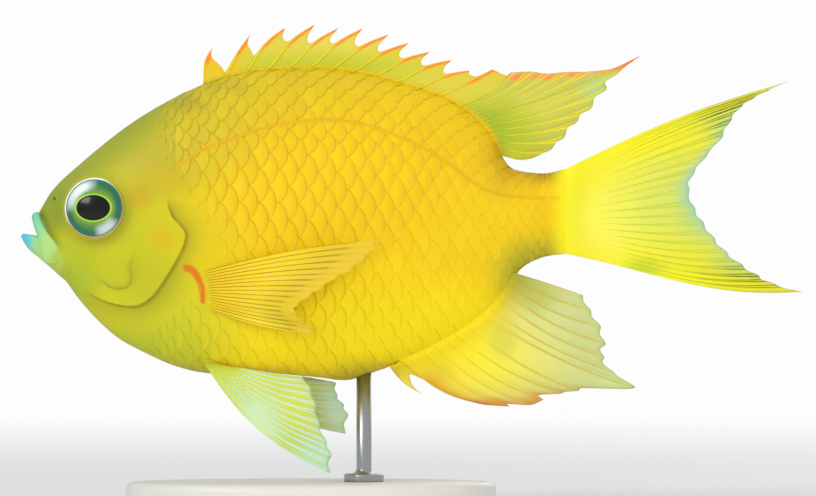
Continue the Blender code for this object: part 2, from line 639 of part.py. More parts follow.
def build():
    """Every part of the fish and its stand."""
    for thing in list(bpy.data.objects):
        bpy.data.objects.remove(thing)

    flesh = paint("flesh", (0.86, 0.58, 0.02), 0.42)
    face = paint("face", (0.5, 0.5, 0.03), 0.42)
    lip = paint("lip", (0.35, 0.66, 0.38), 0.4)
    iris = paint("iris", (0.03, 0.14, 0.08), 0.12)
    yellow_web = paint("yellow_web", (0.85, 0.78, 0.04), 0.45)
    green_web = paint("green_web", (0.6, 0.68, 0.12), 0.45)
    mint_web = paint("mint_web", (0.56, 0.78, 0.42), 0.45)
    steel = paint("steel", (0.6, 0.6, 0.6), 0.3, 1.0)
    lacquer = paint("lacquer", (0.78, 0.78, 0.76), 0.35)

    head = add_flesh("head", face)
    keep_side(head, NAPE_CUT, True)
    trunk = add_flesh("trunk", flesh)
    keep_side(trunk, NAPE_CUT, False)
    keep_side(trunk, TAIL_CUT, True)
    tail = add_flesh("tail", flesh)
    keep_side(tail, TAIL_CUT, False)

    upper_lip = add_upper_lip(lip)
    lower_jaw = add_lower_jaw(lip)
    carve(lower_jaw, [grown_copy(upper_lip, GAP), grown_copy(head, GAP)])
    head_cuts, trunk_cuts = [grown_copy(upper_lip, GAP)], []
    for word, side in (("left", -1), ("right", 1)):
        eye = add_eye(f"eye_{word}", side, iris)
        add_cover(f"gill_cover_{word}", side, face)
        for cuts in (head_cuts, trunk_cuts):
            cuts.append(add_cover("recess", side, None, GAP, 2.0))
        head_cuts.append(grown_copy(eye, GAP))
        station, height = NOSTRIL_AT
        head_cuts.append(add_ball((station, side * float(flank(station, height)), height),
                                  NOSTRIL_RADIUS))
    carve(head, head_cuts)
    rod = add_rod(steel)
    carve(rod, [grown_copy(trunk, GAP)])
    carve(trunk, trunk_cuts)

    add_spiny_dorsal(green_web)
    dorsal_roots = off_line(BACK, SOFT_DORSAL_ROOTS, len(SOFT_DORSAL_TIPS), 1)
    add_soft_fin("dorsal_fin_soft", dorsal_roots, SOFT_DORSAL_TIPS, green_web,
                 (SPINE_BOWS[1], -0.6), ruffle=0.7)
    add_anal_fin(yellow_web)
    top, bottom = float(through(BACK, TAIL_ROOT)), float(through(BELLY, TAIL_ROOT))
    add_tail_lobe("caudal_fin_upper", (top, 0.4 + GAP / 2), UPPER_TAIL_TIPS, (1.3, 0.0), 1.0,
                  yellow_web)
    add_tail_lobe("caudal_fin_lower", (0.4 - GAP / 2, bottom), LOWER_TAIL_TIPS, (0.0, -2.1), 1.5,
                  yellow_web)
    for word, side in (("left", -1), ("right", 1)):
        add_pectoral(f"pectoral_fin_{word}", side, yellow_web)
    add_pelvic("pelvic_fin_left", -1, LEFT_PELVIC_TIPS, LEFT_PELVIC_SPLAY, mint_web)
    add_pelvic("pelvic_fin_right", 1, RIGHT_PELVIC_TIPS, RIGHT_PELVIC_SPLAY, mint_web)
    add_base(lacquer)


build()
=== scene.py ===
# %% [markdown]
# A yellow chromis on its stand.
# This lesson dresses the plain solids of a small reef fish as a life-size museum model. All new
# surfaces are worked out as whole arrays: a fish is easiest to describe by formulas, because its
# body is a run of egg-shaped rings and each fin is a fan of rays.

# %% Load the frame
import json
import math
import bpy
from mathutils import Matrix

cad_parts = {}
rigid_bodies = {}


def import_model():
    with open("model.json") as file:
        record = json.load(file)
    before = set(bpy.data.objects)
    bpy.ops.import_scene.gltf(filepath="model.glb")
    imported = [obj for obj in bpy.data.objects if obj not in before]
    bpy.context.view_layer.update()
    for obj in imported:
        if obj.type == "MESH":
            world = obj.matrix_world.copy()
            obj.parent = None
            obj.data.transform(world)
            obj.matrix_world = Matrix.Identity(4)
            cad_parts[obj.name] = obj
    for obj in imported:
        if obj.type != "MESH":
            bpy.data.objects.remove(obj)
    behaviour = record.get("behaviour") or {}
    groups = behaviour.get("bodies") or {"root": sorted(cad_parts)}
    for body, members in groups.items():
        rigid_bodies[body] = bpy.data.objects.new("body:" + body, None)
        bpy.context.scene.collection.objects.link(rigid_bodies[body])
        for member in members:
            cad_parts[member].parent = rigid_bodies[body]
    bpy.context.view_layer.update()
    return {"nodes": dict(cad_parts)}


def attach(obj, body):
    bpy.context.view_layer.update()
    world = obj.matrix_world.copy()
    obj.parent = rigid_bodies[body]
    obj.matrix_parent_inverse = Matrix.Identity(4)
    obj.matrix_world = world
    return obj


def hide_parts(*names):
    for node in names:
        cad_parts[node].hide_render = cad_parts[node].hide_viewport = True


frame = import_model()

from types import SimpleNamespace

import bpy
import numpy as np
from mathutils import Vector

print("solids:", len(frame["nodes"]))

# %% [markdown]
# Places on the fish are given in its own measures, in millimetres: the station is the distance
# behind the tip of the lower jaw, sideways is positive on its right, and the height is counted
# from the midline of the tail. One function turns them into the frame's metres.

# %% Measures
MM = 0.001
TOTAL_LENGTH = 156.4
MIDLINE_HEIGHT = 58.0
TAIL_ROOT = 108.9
LEFT, RIGHT = -1, 1
SIDES = (("left", LEFT), ("right", RIGHT))


def to_world(points):
    """Station, sideways and height in millimetres to metres: shift, then scale."""
    return (np.asarray(points, float) + (-TOTAL_LENGTH / 2, 0, MIDLINE_HEIGHT)) * MM


def soft_step(value, low, high):
    """0 below low, 1 above high, and 3t^2 - 2t^3 between them."""
    t = np.clip((np.asarray(value, float) - low) / (high - low), 0, 1)
    return t * t * (3 - 2 * t)


def bell(value, width):
    """exp(-(value / width)^2), a smooth bump of height 1."""
    return np.exp(-(np.asarray(value, float) / width) ** 2)


def full_turn(count):
    """Even angles once round, from 0, without the last."""
    return np.linspace(0, 2 * math.pi, count, endpoint=False)


def stacked(*parts):
    """Arrays spread over each other's rows and columns and stacked along a new last axis, such
    as coordinates into points or corners into faces."""
    return np.stack(np.broadcast_arrays(*parts), -1)


def length_of(vectors):
    """Length of each vector."""
    return np.linalg.norm(vectors, axis=-1)


def unit(vectors):
    """Vectors scaled to length 1."""
    return vectors / length_of(vectors)[..., None]


def square_to(steps):
    """Unit vectors a quarter turn from steps in the side view."""
    return unit(stacked(-steps[..., 1], steps[..., 0]))


# %% [markdown]
# The flesh follows four lines along the body: the back, the belly, the level where it is widest
# and its half width there. They are the lines of the solids, faired a little more, because
# light on a glossy skin shows every kink.

# %% Lines of the body
BACK = (
    (3.2, -0.5), (3.7, 0.5), (4.5, 1.9), (5.7, 3.9), (7.7, 6.3), (11.7, 9.9), (15.7, 13.3),
    (21.7, 17.9), (27.7, 21.7), (33.7, 24.9), (40.7, 27.4), (47.7, 28.9), (58.5, 29.4),
    (67.7, 28.5), (73.7, 27.0), (83.7, 24.0), (88.5, 21.4), (92.3, 18.2), (94.3, 15.8),
    (95.7, 13.0), (96.5, 11.0), (98.3, 9.1), (101.0, 8.5), (104.7, 8.2), (TAIL_ROOT, 9.0),
)
BELLY = (
    (3.2, -1.6), (3.7, -3.0), (4.5, -4.8), (5.6, -7.2), (6.8, -10.0), (7.7, -11.7), (8.4, -12.7),
    (8.9, -13.3), (11.5, -16.9), (15.7, -21.6), (19.7, -25.0), (23.7, -27.2), (31.7, -30.8),
    (36.7, -31.9), (45.7, -32.4), (57.3, -32.6), (64.9, -33.4), (69.1, -32.2), (73.1, -30.9),
    (81.7, -27.4), (91.7, -21.6), (95.7, -17.6), (98.1, -14.0), (99.6, -11.4), (101.7, -9.9),
    (105.7, -8.4), (TAIL_ROOT, -8.0),
)
LEVEL = (
    (3.2, -1.0), (3.7, -2.4), (4.5, -4.0), (5.6, -5.7), (6.8, -7.2), (8.4, -8.0), (11.7, -5.6),
    (15.7, -2.4), (21.7, 0.2), (30.0, 1.8), (45.0, 2.4), (65.0, 1.6), (85.0, 0.6),
    (99.0, -0.6), (TAIL_ROOT, 0.4),
)
HALF_WIDTH = (
    (3.2, 0.7), (3.7, 2.0), (4.5, 3.0), (5.7, 3.7), (7.7, 4.4), (11.7, 5.8), (15.7, 7.1),
    (21.7, 8.9), (27.7, 10.4), (35.0, 11.8), (45.0, 12.8), (55.0, 13.0), (65.0, 12.6),
    (75.0, 11.4), (85.0, 9.3), (92.0, 7.3), (97.0, 5.7), (102.0, 4.0), (104.5, 2.95),
    (107.0, 1.95), (TAIL_ROOT, 1.4),
)
SNOUT = BACK[0][0]
FINE_STEP = 0.1
FINE = np.linspace(SNOUT, TAIL_ROOT, 1058)
FAIR_WIDTH = 0.8


def through(points, at):
    """Monotone cubic through (x, y) points: each slope is the harmonic mean of its
    neighbours' rises, or 0 where they turn."""
    x, y = (np.array(column, float) for column in zip(*points))
    width = np.diff(x)
    rise = np.diff(y) / width
    slope = np.zeros(len(x))
    same_way = rise[:-1] * rise[1:] > 0
    left, right = rise[:-1][same_way], rise[1:][same_way]
    slope[1:-1][same_way] = 2 * left * right / (left + right)
    slope[0], slope[-1] = rise[0], rise[-1]
    at = np.clip(np.asarray(at, float), x[0], x[-1])
    i = np.clip(np.searchsorted(x, at) - 1, 0, len(x) - 2)
    t = (at - x[i]) / width[i]
    return (
        y[i] * (1 + 2 * t) * (1 - t) ** 2
        + y[i + 1] * t * t * (3 - 2 * t)
        + width[i] * (slope[i] * t * (1 - t) ** 2 - slope[i + 1] * t * t * (1 - t))
    )


def faired(points):
    """The line at the fine stations, averaged over a bell, but not at its two ends."""
    raw = through(points, FINE)
    kernel = bell(np.arange(-20, 21) * FINE_STEP, FAIR_WIDTH)
    smooth = np.convolve(np.pad(raw, 20, mode="edge"), kernel / kernel.sum(), mode="valid")
    after_snout = soft_step(FINE, SNOUT + 4, SNOUT + 12)
    before_tail = 1 - soft_step(FINE, TAIL_ROOT - 4, TAIL_ROOT - 2)
    return raw + (smooth - raw) * (after_snout * before_tail)


BACK_FAIR, BELLY_FAIR, LEVEL_FAIR, WIDTH_FAIR = map(faired, (BACK, BELLY, LEVEL, HALF_WIDTH))


def ring_at(station):
    """Back, belly, widest level and half width at a station."""
    return tuple(np.interp(station, FINE, line)
                 for line in (BACK_FAIR, BELLY_FAIR, LEVEL_FAIR, WIDTH_FAIR))


print("deepest body:", round(float((BACK_FAIR - BELLY_FAIR).max()), 1), "mm")

# %% [markdown]
# Scales are laid out by distance along the skin, not by angle, so the arc length of an ellipse
# is needed. It has no closed formula. A small table holds it once for many proportions, and
# every later call reads between its entries.

# %% Walking round a ring
RATIOS = np.linspace(0.2, 8.0, 79)
ANGLES = np.linspace(0, math.pi / 2, 181)
SHARES = np.linspace(0, 1, 101)
steps_round = np.hypot(np.diff(np.cos(ANGLES)), RATIOS[:, None] * np.diff(np.sin(ANGLES)))
arcs = np.concatenate([np.zeros((len(RATIOS), 1)), np.cumsum(steps_round, axis=1)], axis=1)
QUARTER = arcs[:, -1]
TURNS = np.array([np.interp(SHARES * whole, row, ANGLES) for whole, row in zip(QUARTER, arcs)])


def turn_for(ratio, share):
    """Angle that covers a share of a quarter ellipse's length, read bilinearly."""
    ratio, share = np.broadcast_arrays(ratio, share)
    r = np.clip((ratio - RATIOS[0]) / (RATIOS[1] - RATIOS[0]), 0, len(RATIOS) - 1.001)
    s = np.clip(share * (len(SHARES) - 1), 0, len(SHARES) - 1.001)
    i, j = r.astype(int), s.astype(int)
    u, v = r - i, s - j
    return ((1 - u) * ((1 - v) * TURNS[i, j] + v * TURNS[i, j + 1])
            + u * ((1 - v) * TURNS[i + 1, j] + v * TURNS[i + 1, j + 1]))


def body_point(station, share, side):
    """A point of the flesh. Share is -1 on the keel, 0 at the widest level and 1 on the back,
    even along the skin: (half width * cos, reach * sin) of the turn for that share."""
    back, belly, level, half = ring_at(station)
    reach = np.where(share > 0, back - level, level - belly)
    turn = turn_for(reach / half, np.abs(share))
    height = level + np.sign(share) * reach * np.sin(turn)
    return stacked(station, side * half * np.cos(turn), height)


def body_normal(station, share, side):
    """Outward unit vector: the cross product of a small step back and a small step up."""
    back_step = body_point(station + 0.2, share, side) - body_point(station - 0.2, share, side)
    up_step = (body_point(station, np.clip(share + 0.01, -1, 1), side)
               - body_point(station, np.clip(share - 0.01, -1, 1), side))
    return unit(-side * np.cross(back_step, up_step))


def quarter_length(station, upper):
    """Length of skin from the widest level to the back, or to the keel."""
    back, belly, level, half = ring_at(station)
    reach = np.where(upper, back - level, level - belly)
    return half * np.interp(reach / half, RATIOS, QUARTER)


def flank(station, height):
    """Half width at a height: half width * sqrt(1 - (height share)^2)."""
    back, belly, level, half = ring_at(station)
    share = np.where(height > level, (height - level) / (back - level),
                     (level - height) / (level - belly))
    return half * np.sqrt(1 - np.clip(share, 0, 0.999) ** 2)


def on_flank(station, height, side, lift=0.0):
    """A point of the flank by station and height, moved out along the flank's normal."""
    fore = flank(station + 0.5, height) - flank(station - 0.5, height)
    up = flank(station, height + 0.5) - flank(station, height - 0.5)
    normal = unit(stacked(-fore, side, -up)) * np.asarray(lift)[..., None]
    return stacked(station, side * flank(station, height), height) + normal


print("half girth at station 55:",
      round(float(sum(quarter_length(55.0, up) for up in (True, False))), 1), "mm")

# %% [markdown]
# Blender meshes are filled from flat arrays with foreach_set, which is far faster than adding
# faces one by one. Values that later steer the paint, such as "how near the edge of a scale",
# ride along as attributes of the points.

# %% Mesh tools
def grid_faces(rows, columns, closed=False, first=0):
    """Quads (r, c), (r, c+1), (r+1, c+1), (r+1, c) of a grid, wrapped round if closed."""
    index = first + np.arange(rows * columns).reshape(rows, columns)
    if closed:
        index = np.concatenate([index, index[:, :1]], axis=1)
    corners = stacked(index[:-1, :-1], index[:-1, 1:], index[1:, 1:], index[1:, :-1])
    return corners.reshape(-1, 4)


def volume_sign(points, faces):
    """Sign of the sum of a . (b x c) over the faces' first three corners."""
    middle = points.mean(0)
    a, b, c = (points[faces[:, k]] - middle for k in (0, 1, 2))
    total = np.einsum("ij,ij->i", a, np.cross(b, c)).sum()
    if faces.shape[1] == 4:
        d = points[faces[:, 3]] - middle
        total += np.einsum("ij,ij->i", a, np.cross(c, d)).sum()
    return 1 if total > 0 else -1


def add_piece(name, points, faces, finish, nodes, traits=None, plans=None):
    """A mesh object at the origin from points in fish measures, riding on the root body."""
    points = np.asarray(points, float).reshape(-1, 3)
    faces = [np.asarray(group) for group in (faces if isinstance(faces, list) else [faces])]
    if sum(volume_sign(points, group) * len(group) for group in faces) < 0:
        faces = [group[:, ::-1] for group in faces]
    sizes = np.concatenate([np.full(len(group), group.shape[1]) for group in faces])
    corners = np.concatenate([group.ravel() for group in faces])
    mesh = bpy.data.meshes.new(name)
    mesh.vertices.add(len(points))
    mesh.vertices.foreach_set("co", to_world(points).astype(np.float32).ravel())
    mesh.loops.add(len(corners))
    mesh.loops.foreach_set("vertex_index", corners.astype(np.int32))
    mesh.polygons.add(len(sizes))
    starts = np.concatenate([[0], np.cumsum(sizes)[:-1]])
    mesh.polygons.foreach_set("loop_start", starts.astype(np.int32))
    mesh.update(calc_edges=True)
    mesh.validate()
    for key, values in (traits or {}).items():
        trait = mesh.attributes.new(key, "FLOAT", "POINT")
        trait.data.foreach_set("value", np.asarray(values, np.float32).ravel())
    for key, spots in (plans or {}).items():
        plan = mesh.uv_layers.new(name=key)
        plan.data.foreach_set("uv", np.asarray(spots, np.float32).reshape(-1, 2)[corners].ravel())
    mesh.materials.append(finish.material)
    mesh.shade_smooth()
    piece = bpy.data.objects.new(name, mesh)
    bpy.context.scene.collection.objects.link(piece)
    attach(piece, "root")
    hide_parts(*nodes)
    print(name, len(mesh.vertices), "points,", int((sizes - 2).sum()), "triangles")
    return piece


def rim_of(rows, columns):
    """Indices of a grid's rim, once round."""
    index = np.arange(rows * columns).reshape(rows, columns)
    return np.concatenate([index[0], index[1:, -1], index[-1, -2::-1], index[-2:0:-1, 0]])


def sheet_faces(rows, columns):
    """Faces of a closed sheet: a front grid, a back grid turned over, and the rim between."""
    count = rows * columns
    front = grid_faces(rows, columns)
    back = grid_faces(rows, columns, first=count)[:, ::-1]
    rim = rim_of(rows, columns)
    after = np.roll(rim, -1)
    side = stacked(after, rim, rim + count, after + count)
    return np.concatenate([front, back, side])


def both_faces(values):
    """Repeats a grid's values for the front and the back of a sheet."""
    values = np.asarray(values, float)
    return np.concatenate([values.reshape(-1, *values.shape[2:])] * 2)


def tube_with_ends(grid):
    """Points and faces of rings joined in a row, each end closed by a fan to its own middle
    point. The two middle points come last."""
    rows, columns = grid.shape[:2]
    count = rows * columns
    first = np.arange(columns)
    last = first + count - columns
    caps = np.concatenate([stacked(count, np.roll(first, -1), first),
                           stacked(count + 1, last, np.roll(last, -1))])
    points = np.concatenate([grid.reshape(-1, 3), grid[[0, -1]].mean(1)])
    return points, [grid_faces(rows, columns, closed=True), caps]


def with_middles(values):
    """A tube's values, and 0 for its two middle points."""
    return np.concatenate([values.ravel(), [0, 0]])


# %% [markdown]
# Paint is written as expressions. A Wire wraps one socket, and + - * / and ** on it add Math
# nodes, so a mask reads like its formula. Every other node comes from one method, which takes
# its type, its settings and its sockets.

# %% Shader tools
class Wire:
    """An output socket. Arithmetic on it adds Math nodes, by the methods set below."""

    def __init__(self, finish, socket):
        self.finish, self.socket = finish, socket

    def math(self, operation, first, second=0.0):
        return self.finish.node("Math", {0: first, 1: second}, {"operation": operation})


def set_operator(word, operation):
    """Lets a wire stand on either side of an operator, as in wire - 1 and 1 - wire."""
    setattr(Wire, f"__{word}__", lambda wire, other: wire.math(operation, wire, other))
    setattr(Wire, f"__r{word}__", lambda wire, other: wire.math(operation, other, wire))


for word, operation in (("add", "ADD"), ("sub", "SUBTRACT"), ("mul", "MULTIPLY"),
                        ("truediv", "DIVIDE"), ("pow", "POWER")):
    set_operator(word, operation)


def oval_reach(x, y, half_x=1.0, half_y=1.0):
    """Distance from the middle of an oval, counted as 1 on its outline."""
    return ((x / half_x) ** 2 + (y / half_y) ** 2) ** 0.5


def paint_chip(red, green, blue):
    """Colour of a paint chip, 0 to 255, as the linear light that shaders use."""
    part = np.array([red, green, blue]) / 255
    light = np.where(part > 0.04045, ((part + 0.055) / 1.055) ** 2.4, part / 12.92)
    return (*light.tolist(), 1.0)


class Finish:
    """A material under construction."""

    def __init__(self, name, **constants):
        self.material = bpy.data.materials.new(name)
        self.material.use_nodes = True
        self.tree = self.material.node_tree
        self.shader = self.tree.nodes["Principled BSDF"]
        self.drive(**constants)

    def join(self, socket, value):
        if isinstance(value, Wire):
            self.tree.links.new(value.socket, socket)
        else:
            socket.default_value = value

    def node(self, kind, sockets=None, settings=None, out=0):
        """Adds a node: settings first, then the values or links of its sockets."""
        made = self.tree.nodes.new("ShaderNode" + kind)
        for key, value in (settings or {}).items():
            setattr(made, key, value)
        for key, value in (sockets or {}).items():
            self.join(made.inputs[key], value)
        return Wire(self, made.outputs[out])

    def mix(self, below, above, mask):
        """Lays one colour over another through a mask."""
        return self.node("Mix", {0: mask, 6: below, 7: above}, {"data_type": "RGBA"}, out=2)

    def coats(self, colour, *layers):
        """Lays colours over one another, each with its mask."""
        for above, mask in layers:
            colour = self.mix(colour, above, mask)
        return colour

    def ease(self, value, low, high):
        """Smooth ramp from 0 where a value is low to 1 where it is high."""
        return self.node("MapRange", {0: value, 1: low, 2: high, 3: 0.0, 4: 1.0},
                         {"interpolation_type": "SMOOTHSTEP"})

    def trait(self, name):
        return self.node("Attribute", settings={"attribute_name": name}, out=2)

    def plan(self, name):
        """The two coordinates of a named map."""
        spot = self.node("UVMap", settings={"uv_map": name})
        return tuple(self.node("SeparateXYZ", {0: spot}, out=axis) for axis in (0, 1))

    def place(self):
        """Station, sideways and height of the shaded point, in millimetres."""
        spot = self.node("TexCoord", out=3)
        x, y, z = (self.node("SeparateXYZ", {0: spot}, out=axis) for axis in (0, 1, 2))
        return x / MM + TOTAL_LENGTH / 2, y / MM, z / MM - MIDLINE_HEIGHT

    def noise(self, size, detail=2.0, stretch=(1, 1, 1)):
        """Cloudy noise, 0 to 1, whose blots are about size millimetres."""
        scaled = self.node("Mapping", {0: self.node("TexCoord", out=3), 3: stretch})
        return self.node("TexNoise", {"Vector": scaled, "Scale": 1 / (size * MM), "Detail": detail})

    def bump(self, height, strength, depth):
        """Bump of a given depth in millimetres into the shader's normal."""
        normal = self.node("Bump", {"Height": height, "Strength": strength, "Distance": depth * MM})
        self.join(self.shader.inputs["Normal"], normal)

    def colour(self, wire):
        self.join(self.shader.inputs["Base Color"], wire)

    def drive(self, **values):
        """Sets the shader's inputs by name, each to a constant or to a wire."""
        for key, value in values.items():
            self.join(self.shader.inputs[key.replace("_", " ").title().replace("Ior", "IOR")], value)


def damp_finish(name, roughness, mirror, gloss, glow, depth):
    """Skin under a damp film. Mirror is the specular level, gloss the weight of the film, and
    glow the share of light that wanders under the skin, over a depth in millimetres."""
    return Finish(name, roughness=roughness, specular_ior_level=mirror, coat_weight=gloss,
                  coat_roughness=0.2, subsurface_weight=glow, subsurface_scale=depth * MM)


# %% [markdown]
# The body's paint is a gold ground with soft marks laid over it, each an ellipse that fades
# out: olive on the head, lemon on the rear belly, orange blots behind the eye. Some marks are
# painted shade: a darker nape, olive along the underside of the belly and of the tail's root,
# brown along the top of the tail's root, olive over the top of the head and brown in the roof of
# the mouth. Skin, scales, gill covers, rims and lips all call the same function, so the colour
# runs through every seam.

# %% Paint of the body
GOLD = paint_chip(237, 196, 8)
DEEP_GOLD = paint_chip(231, 184, 12)
LEMON = paint_chip(238, 228, 30)
# colour, station, height, reach along, reach up, strength
BODY_MARKS = (
    ((248, 220, 14), 62, -23, 48, 16, 0.9),
    ((246, 222, 12), 86, -24, 22, 11, 0.9),
    ((226, 186, 20), 88, 19, 16, 9, 0.7),
    ((214, 184, 26), 44, 27, 46, 14, 0.95),
    ((198, 180, 34), 33, 20, 22, 18, 1.0),
    ((189, 188, 32), 14, -6, 33, 32, 1.0),
    ((198, 196, 36), 28, -24, 20, 15, 0.9),
    ((176, 186, 42), 22, -30, 22, 10, 0.8),
    ((160, 178, 46), 9, -13, 9, 9, 0.8),
    ((124, 136, 44), 6.5, 1.0, 5, 7, 0.8),
    ((180, 178, 34), 26, -14, 9, 7, 0.6),
    ((200, 156, 34), 24.2, 3.6, 3.4, 3.6, 0.7),
    ((216, 168, 30), 28.4, -5.0, 3.0, 3.2, 0.55),
    # painted shade: a darker nape, against the light from above
    ((180, 166, 38), 27.5, 10.0, 11.0, 9.0, 0.8),
    ((205, 172, 34), 31.0, 7.5, 8.0, 3.4, 0.4),
    ((166, 150, 40), 34.4, 21.8, 4.4, 2.4, 0.55),
    ((180, 160, 40), 42.0, 25.2, 5.0, 2.0, 0.5),
    # painted shade along the underside of the belly, in this mark and the next
    ((168, 160, 44), 30, -34.0, 26.0, 5.0, 0.7),
    ((158, 150, 44), 69.5, -34.0, 12.0, 6.0, 0.8),
    ((196, 186, 40), 98.0, -13.0, 6.0, 7.5, 0.6),
    # painted shade: olive under the root of the tail, and brown along its top in the next mark
    ((164, 158, 40), 104.0, -11.0, 10.0, 8.6, 1.0),
    ((138, 94, 26), 104.0, 10.8, 11.0, 5.6, 1.0),
    ((206, 160, 26), 97.0, 9.4, 8.0, 8.0, 0.7),
    ((172, 204, 98), 7.0, -9.6, 2.3, 2.7, 0.7),
)
# olive of the painted shade over the rounded top of the head
HEAD_TOP_SHADE = paint_chip(140, 156, 50)
LIP_MINT = paint_chip(170, 210, 124)
LIP_GREEN = paint_chip(128, 204, 150)
LIP_BLUE = paint_chip(84, 188, 210)
OCHRE = paint_chip(216, 166, 26)
# olive of the painted shade behind the gill cover, behind the lip, round the eye and in the nostrils
PAINTED_SHADE = paint_chip(116, 116, 34)
# brown of the painted shade in the roof of the mouth
MOUTH_SHADE_BROWN = paint_chip(92, 78, 52)
AXIL_ORANGE = paint_chip(216, 112, 22)


def lay_marks(finish, colour, marks):
    """Lays soft elliptical marks over a colour: colour, station, height, reaches, strength."""
    station, _, height = finish.place()
    for mark, at, level, along, up, strength in marks:
        away = oval_reach(station - at, height - level, along, up)
        colour = finish.mix(colour, paint_chip(*mark), finish.ease(away, 1.15, 0.2) * strength)
    return colour


def body_paint(finish):
    """Gold ground, then every soft mark, painted olive shade over the top of the head, painted
    brown shade in the roof of the mouth, the lemon end of the tail, the painted shade of the
    curves and the two lines."""
    station, _, height = finish.place()
    ground = finish.mix(GOLD, DEEP_GOLD, finish.noise(9.0) * 0.4)
    above = height - (station * 0.86 - 2.6)
    # painted shade over the rounded top of the head
    head_top_shade = finish.ease(above, -9.5, 0.6) * finish.ease(station, 44.0, 22.0)
    # painted shade in the roof of the mouth
    mouth = finish.ease(station, 4.7, 4.0) * finish.ease(height - station * 1.3, -4.8, -5.8)
    return finish.coats(
        lay_marks(finish, ground, BODY_MARKS), (HEAD_TOP_SHADE, head_top_shade * 0.8), (MOUTH_SHADE_BROWN, mouth),
        (LEMON, finish.ease(station, 104.8, 109.6)), (PAINTED_SHADE, finish.trait("shade")),
        (OCHRE, finish.trait("lateral")), (AXIL_ORANGE, finish.trait("axil")))


print("soft marks:", len(BODY_MARKS))

# %% [markdown]
# Three marks follow curves: painted shade, the ochre lateral line and the orange crescent at the
# root of the pectoral fin. The shade is painted behind the gill cover as its shadow, along the
# cheek's edge, behind the upper lip and below and behind the eye. The distance from each point to
# the curve is worked out with numpy, and a bell of it becomes an attribute.

# %% Curves on the flank
COVER_FRONT = (
    (26.6, 3.4), (25.0, -1.5), (23.9, -6.0), (22.6, -9.0), (22.0, -10.6), (22.4, -12.8),
    (21.7, -14.5), (20.3, -15.0), (18.4, -14.8), (16.9, -13.9), (15.3, -12.4), (13.8, -10.9),
)
COVER_REAR = (
    (29.9, 3.9), (29.6, 2.2), (30.6, -0.6), (32.7, -3.0), (33.2, -4.6), (32.4, -7.2),
    (29.6, -12.2), (26.3, -16.6), (22.9, -18.3), (18.0, -17.6), (14.2, -16.0), (12.6, -14.6),
)
LATERAL = (
    (31.6, 9.4), (36.0, 12.4), (41.0, 14.4), (49.8, 17.3), (58.6, 18.6), (64.4, 18.5),
    (70.0, 17.4), (77.8, 14.4), (85.4, 10.1), (89.0, 7.2), (93.4, 4.6), (97.0, 3.7),
    (102.0, 3.3), (107.0, 3.2),
)
AXIL = ((33.4, -10.7), (34.8, -11.5), (36.0, -13.4), (36.6, -15.4), (36.6, -17.3))
LIP_CREASE = ((4.3, -0.4), (5.2, -2.4), (6.2, -4.3), (7.4, -5.9), (8.2, -7.0))


def curve_at(points, at):
    """Catmull-Rom curve at positions counted in points: between b and c it is a cubic with
    slopes (c - a) / 2 and (d - b) / 2."""
    p = np.array(points, float)
    p = np.concatenate([[2 * p[0] - p[1]], p, [2 * p[-1] - p[-2]]])
    i = np.clip(at.astype(int), 0, len(points) - 2)
    t = (at - i)[:, None]
    a, b, c, d = p[i], p[i + 1], p[i + 2], p[i + 3]
    return 0.5 * (2 * b + (c - a) * t + (2 * a - 5 * b + 4 * c - d) * t**2
                  + (3 * b - a - 3 * c + d) * t**3)


def curve(points, count=160):
    """A curve's points at even positions."""
    return curve_at(points, np.linspace(0, len(points) - 1, count))


def nearest(points, line):
    """Distance from each (station, height) to a curve, and the share along it."""
    flat = points.reshape(-1, 2)
    gap = length_of(flat[:, None] - line)
    which = gap.argmin(1)
    along = which / (len(line) - 1)
    return gap.min(1).reshape(points.shape[:-1]), along.reshape(points.shape[:-1])


def is_inside(points, outline):
    """Whether each (station, height) is inside an outline: odd crossings of a level ray."""
    x, y = points[..., 0, None], points[..., 1, None]
    ax, ay = outline[:, 0], outline[:, 1]
    bx, by = np.roll(ax, -1), np.roll(ay, -1)
    crosses = (ay > y) != (by > y)
    cut = ax + (y - ay) * (bx - ax) / np.where(by == ay, 1e-9, by - ay)
    return (crosses & (x < cut)).sum(-1) % 2 == 1


front_edge, rear_edge = curve(COVER_FRONT), curve(COVER_REAR)
cover_outline = np.concatenate([front_edge, rear_edge[::-1]])
lateral_line, axil_line, lip_crease = curve(LATERAL), curve(AXIL), curve(LIP_CREASE)


def gill_fade(along):
    """Full strength along the middle of the gill cover's edge, nothing at its two ends."""
    return soft_step(along, 0.02, 0.16) * (1 - soft_step(along, 0.8, 1.0))


def cheek_fade(along):
    """The cheek's edge shows along the lower three quarters of the cover's front."""
    return soft_step(along, 0.15, 0.35) * (1 - soft_step(along, 0.75, 1.0))


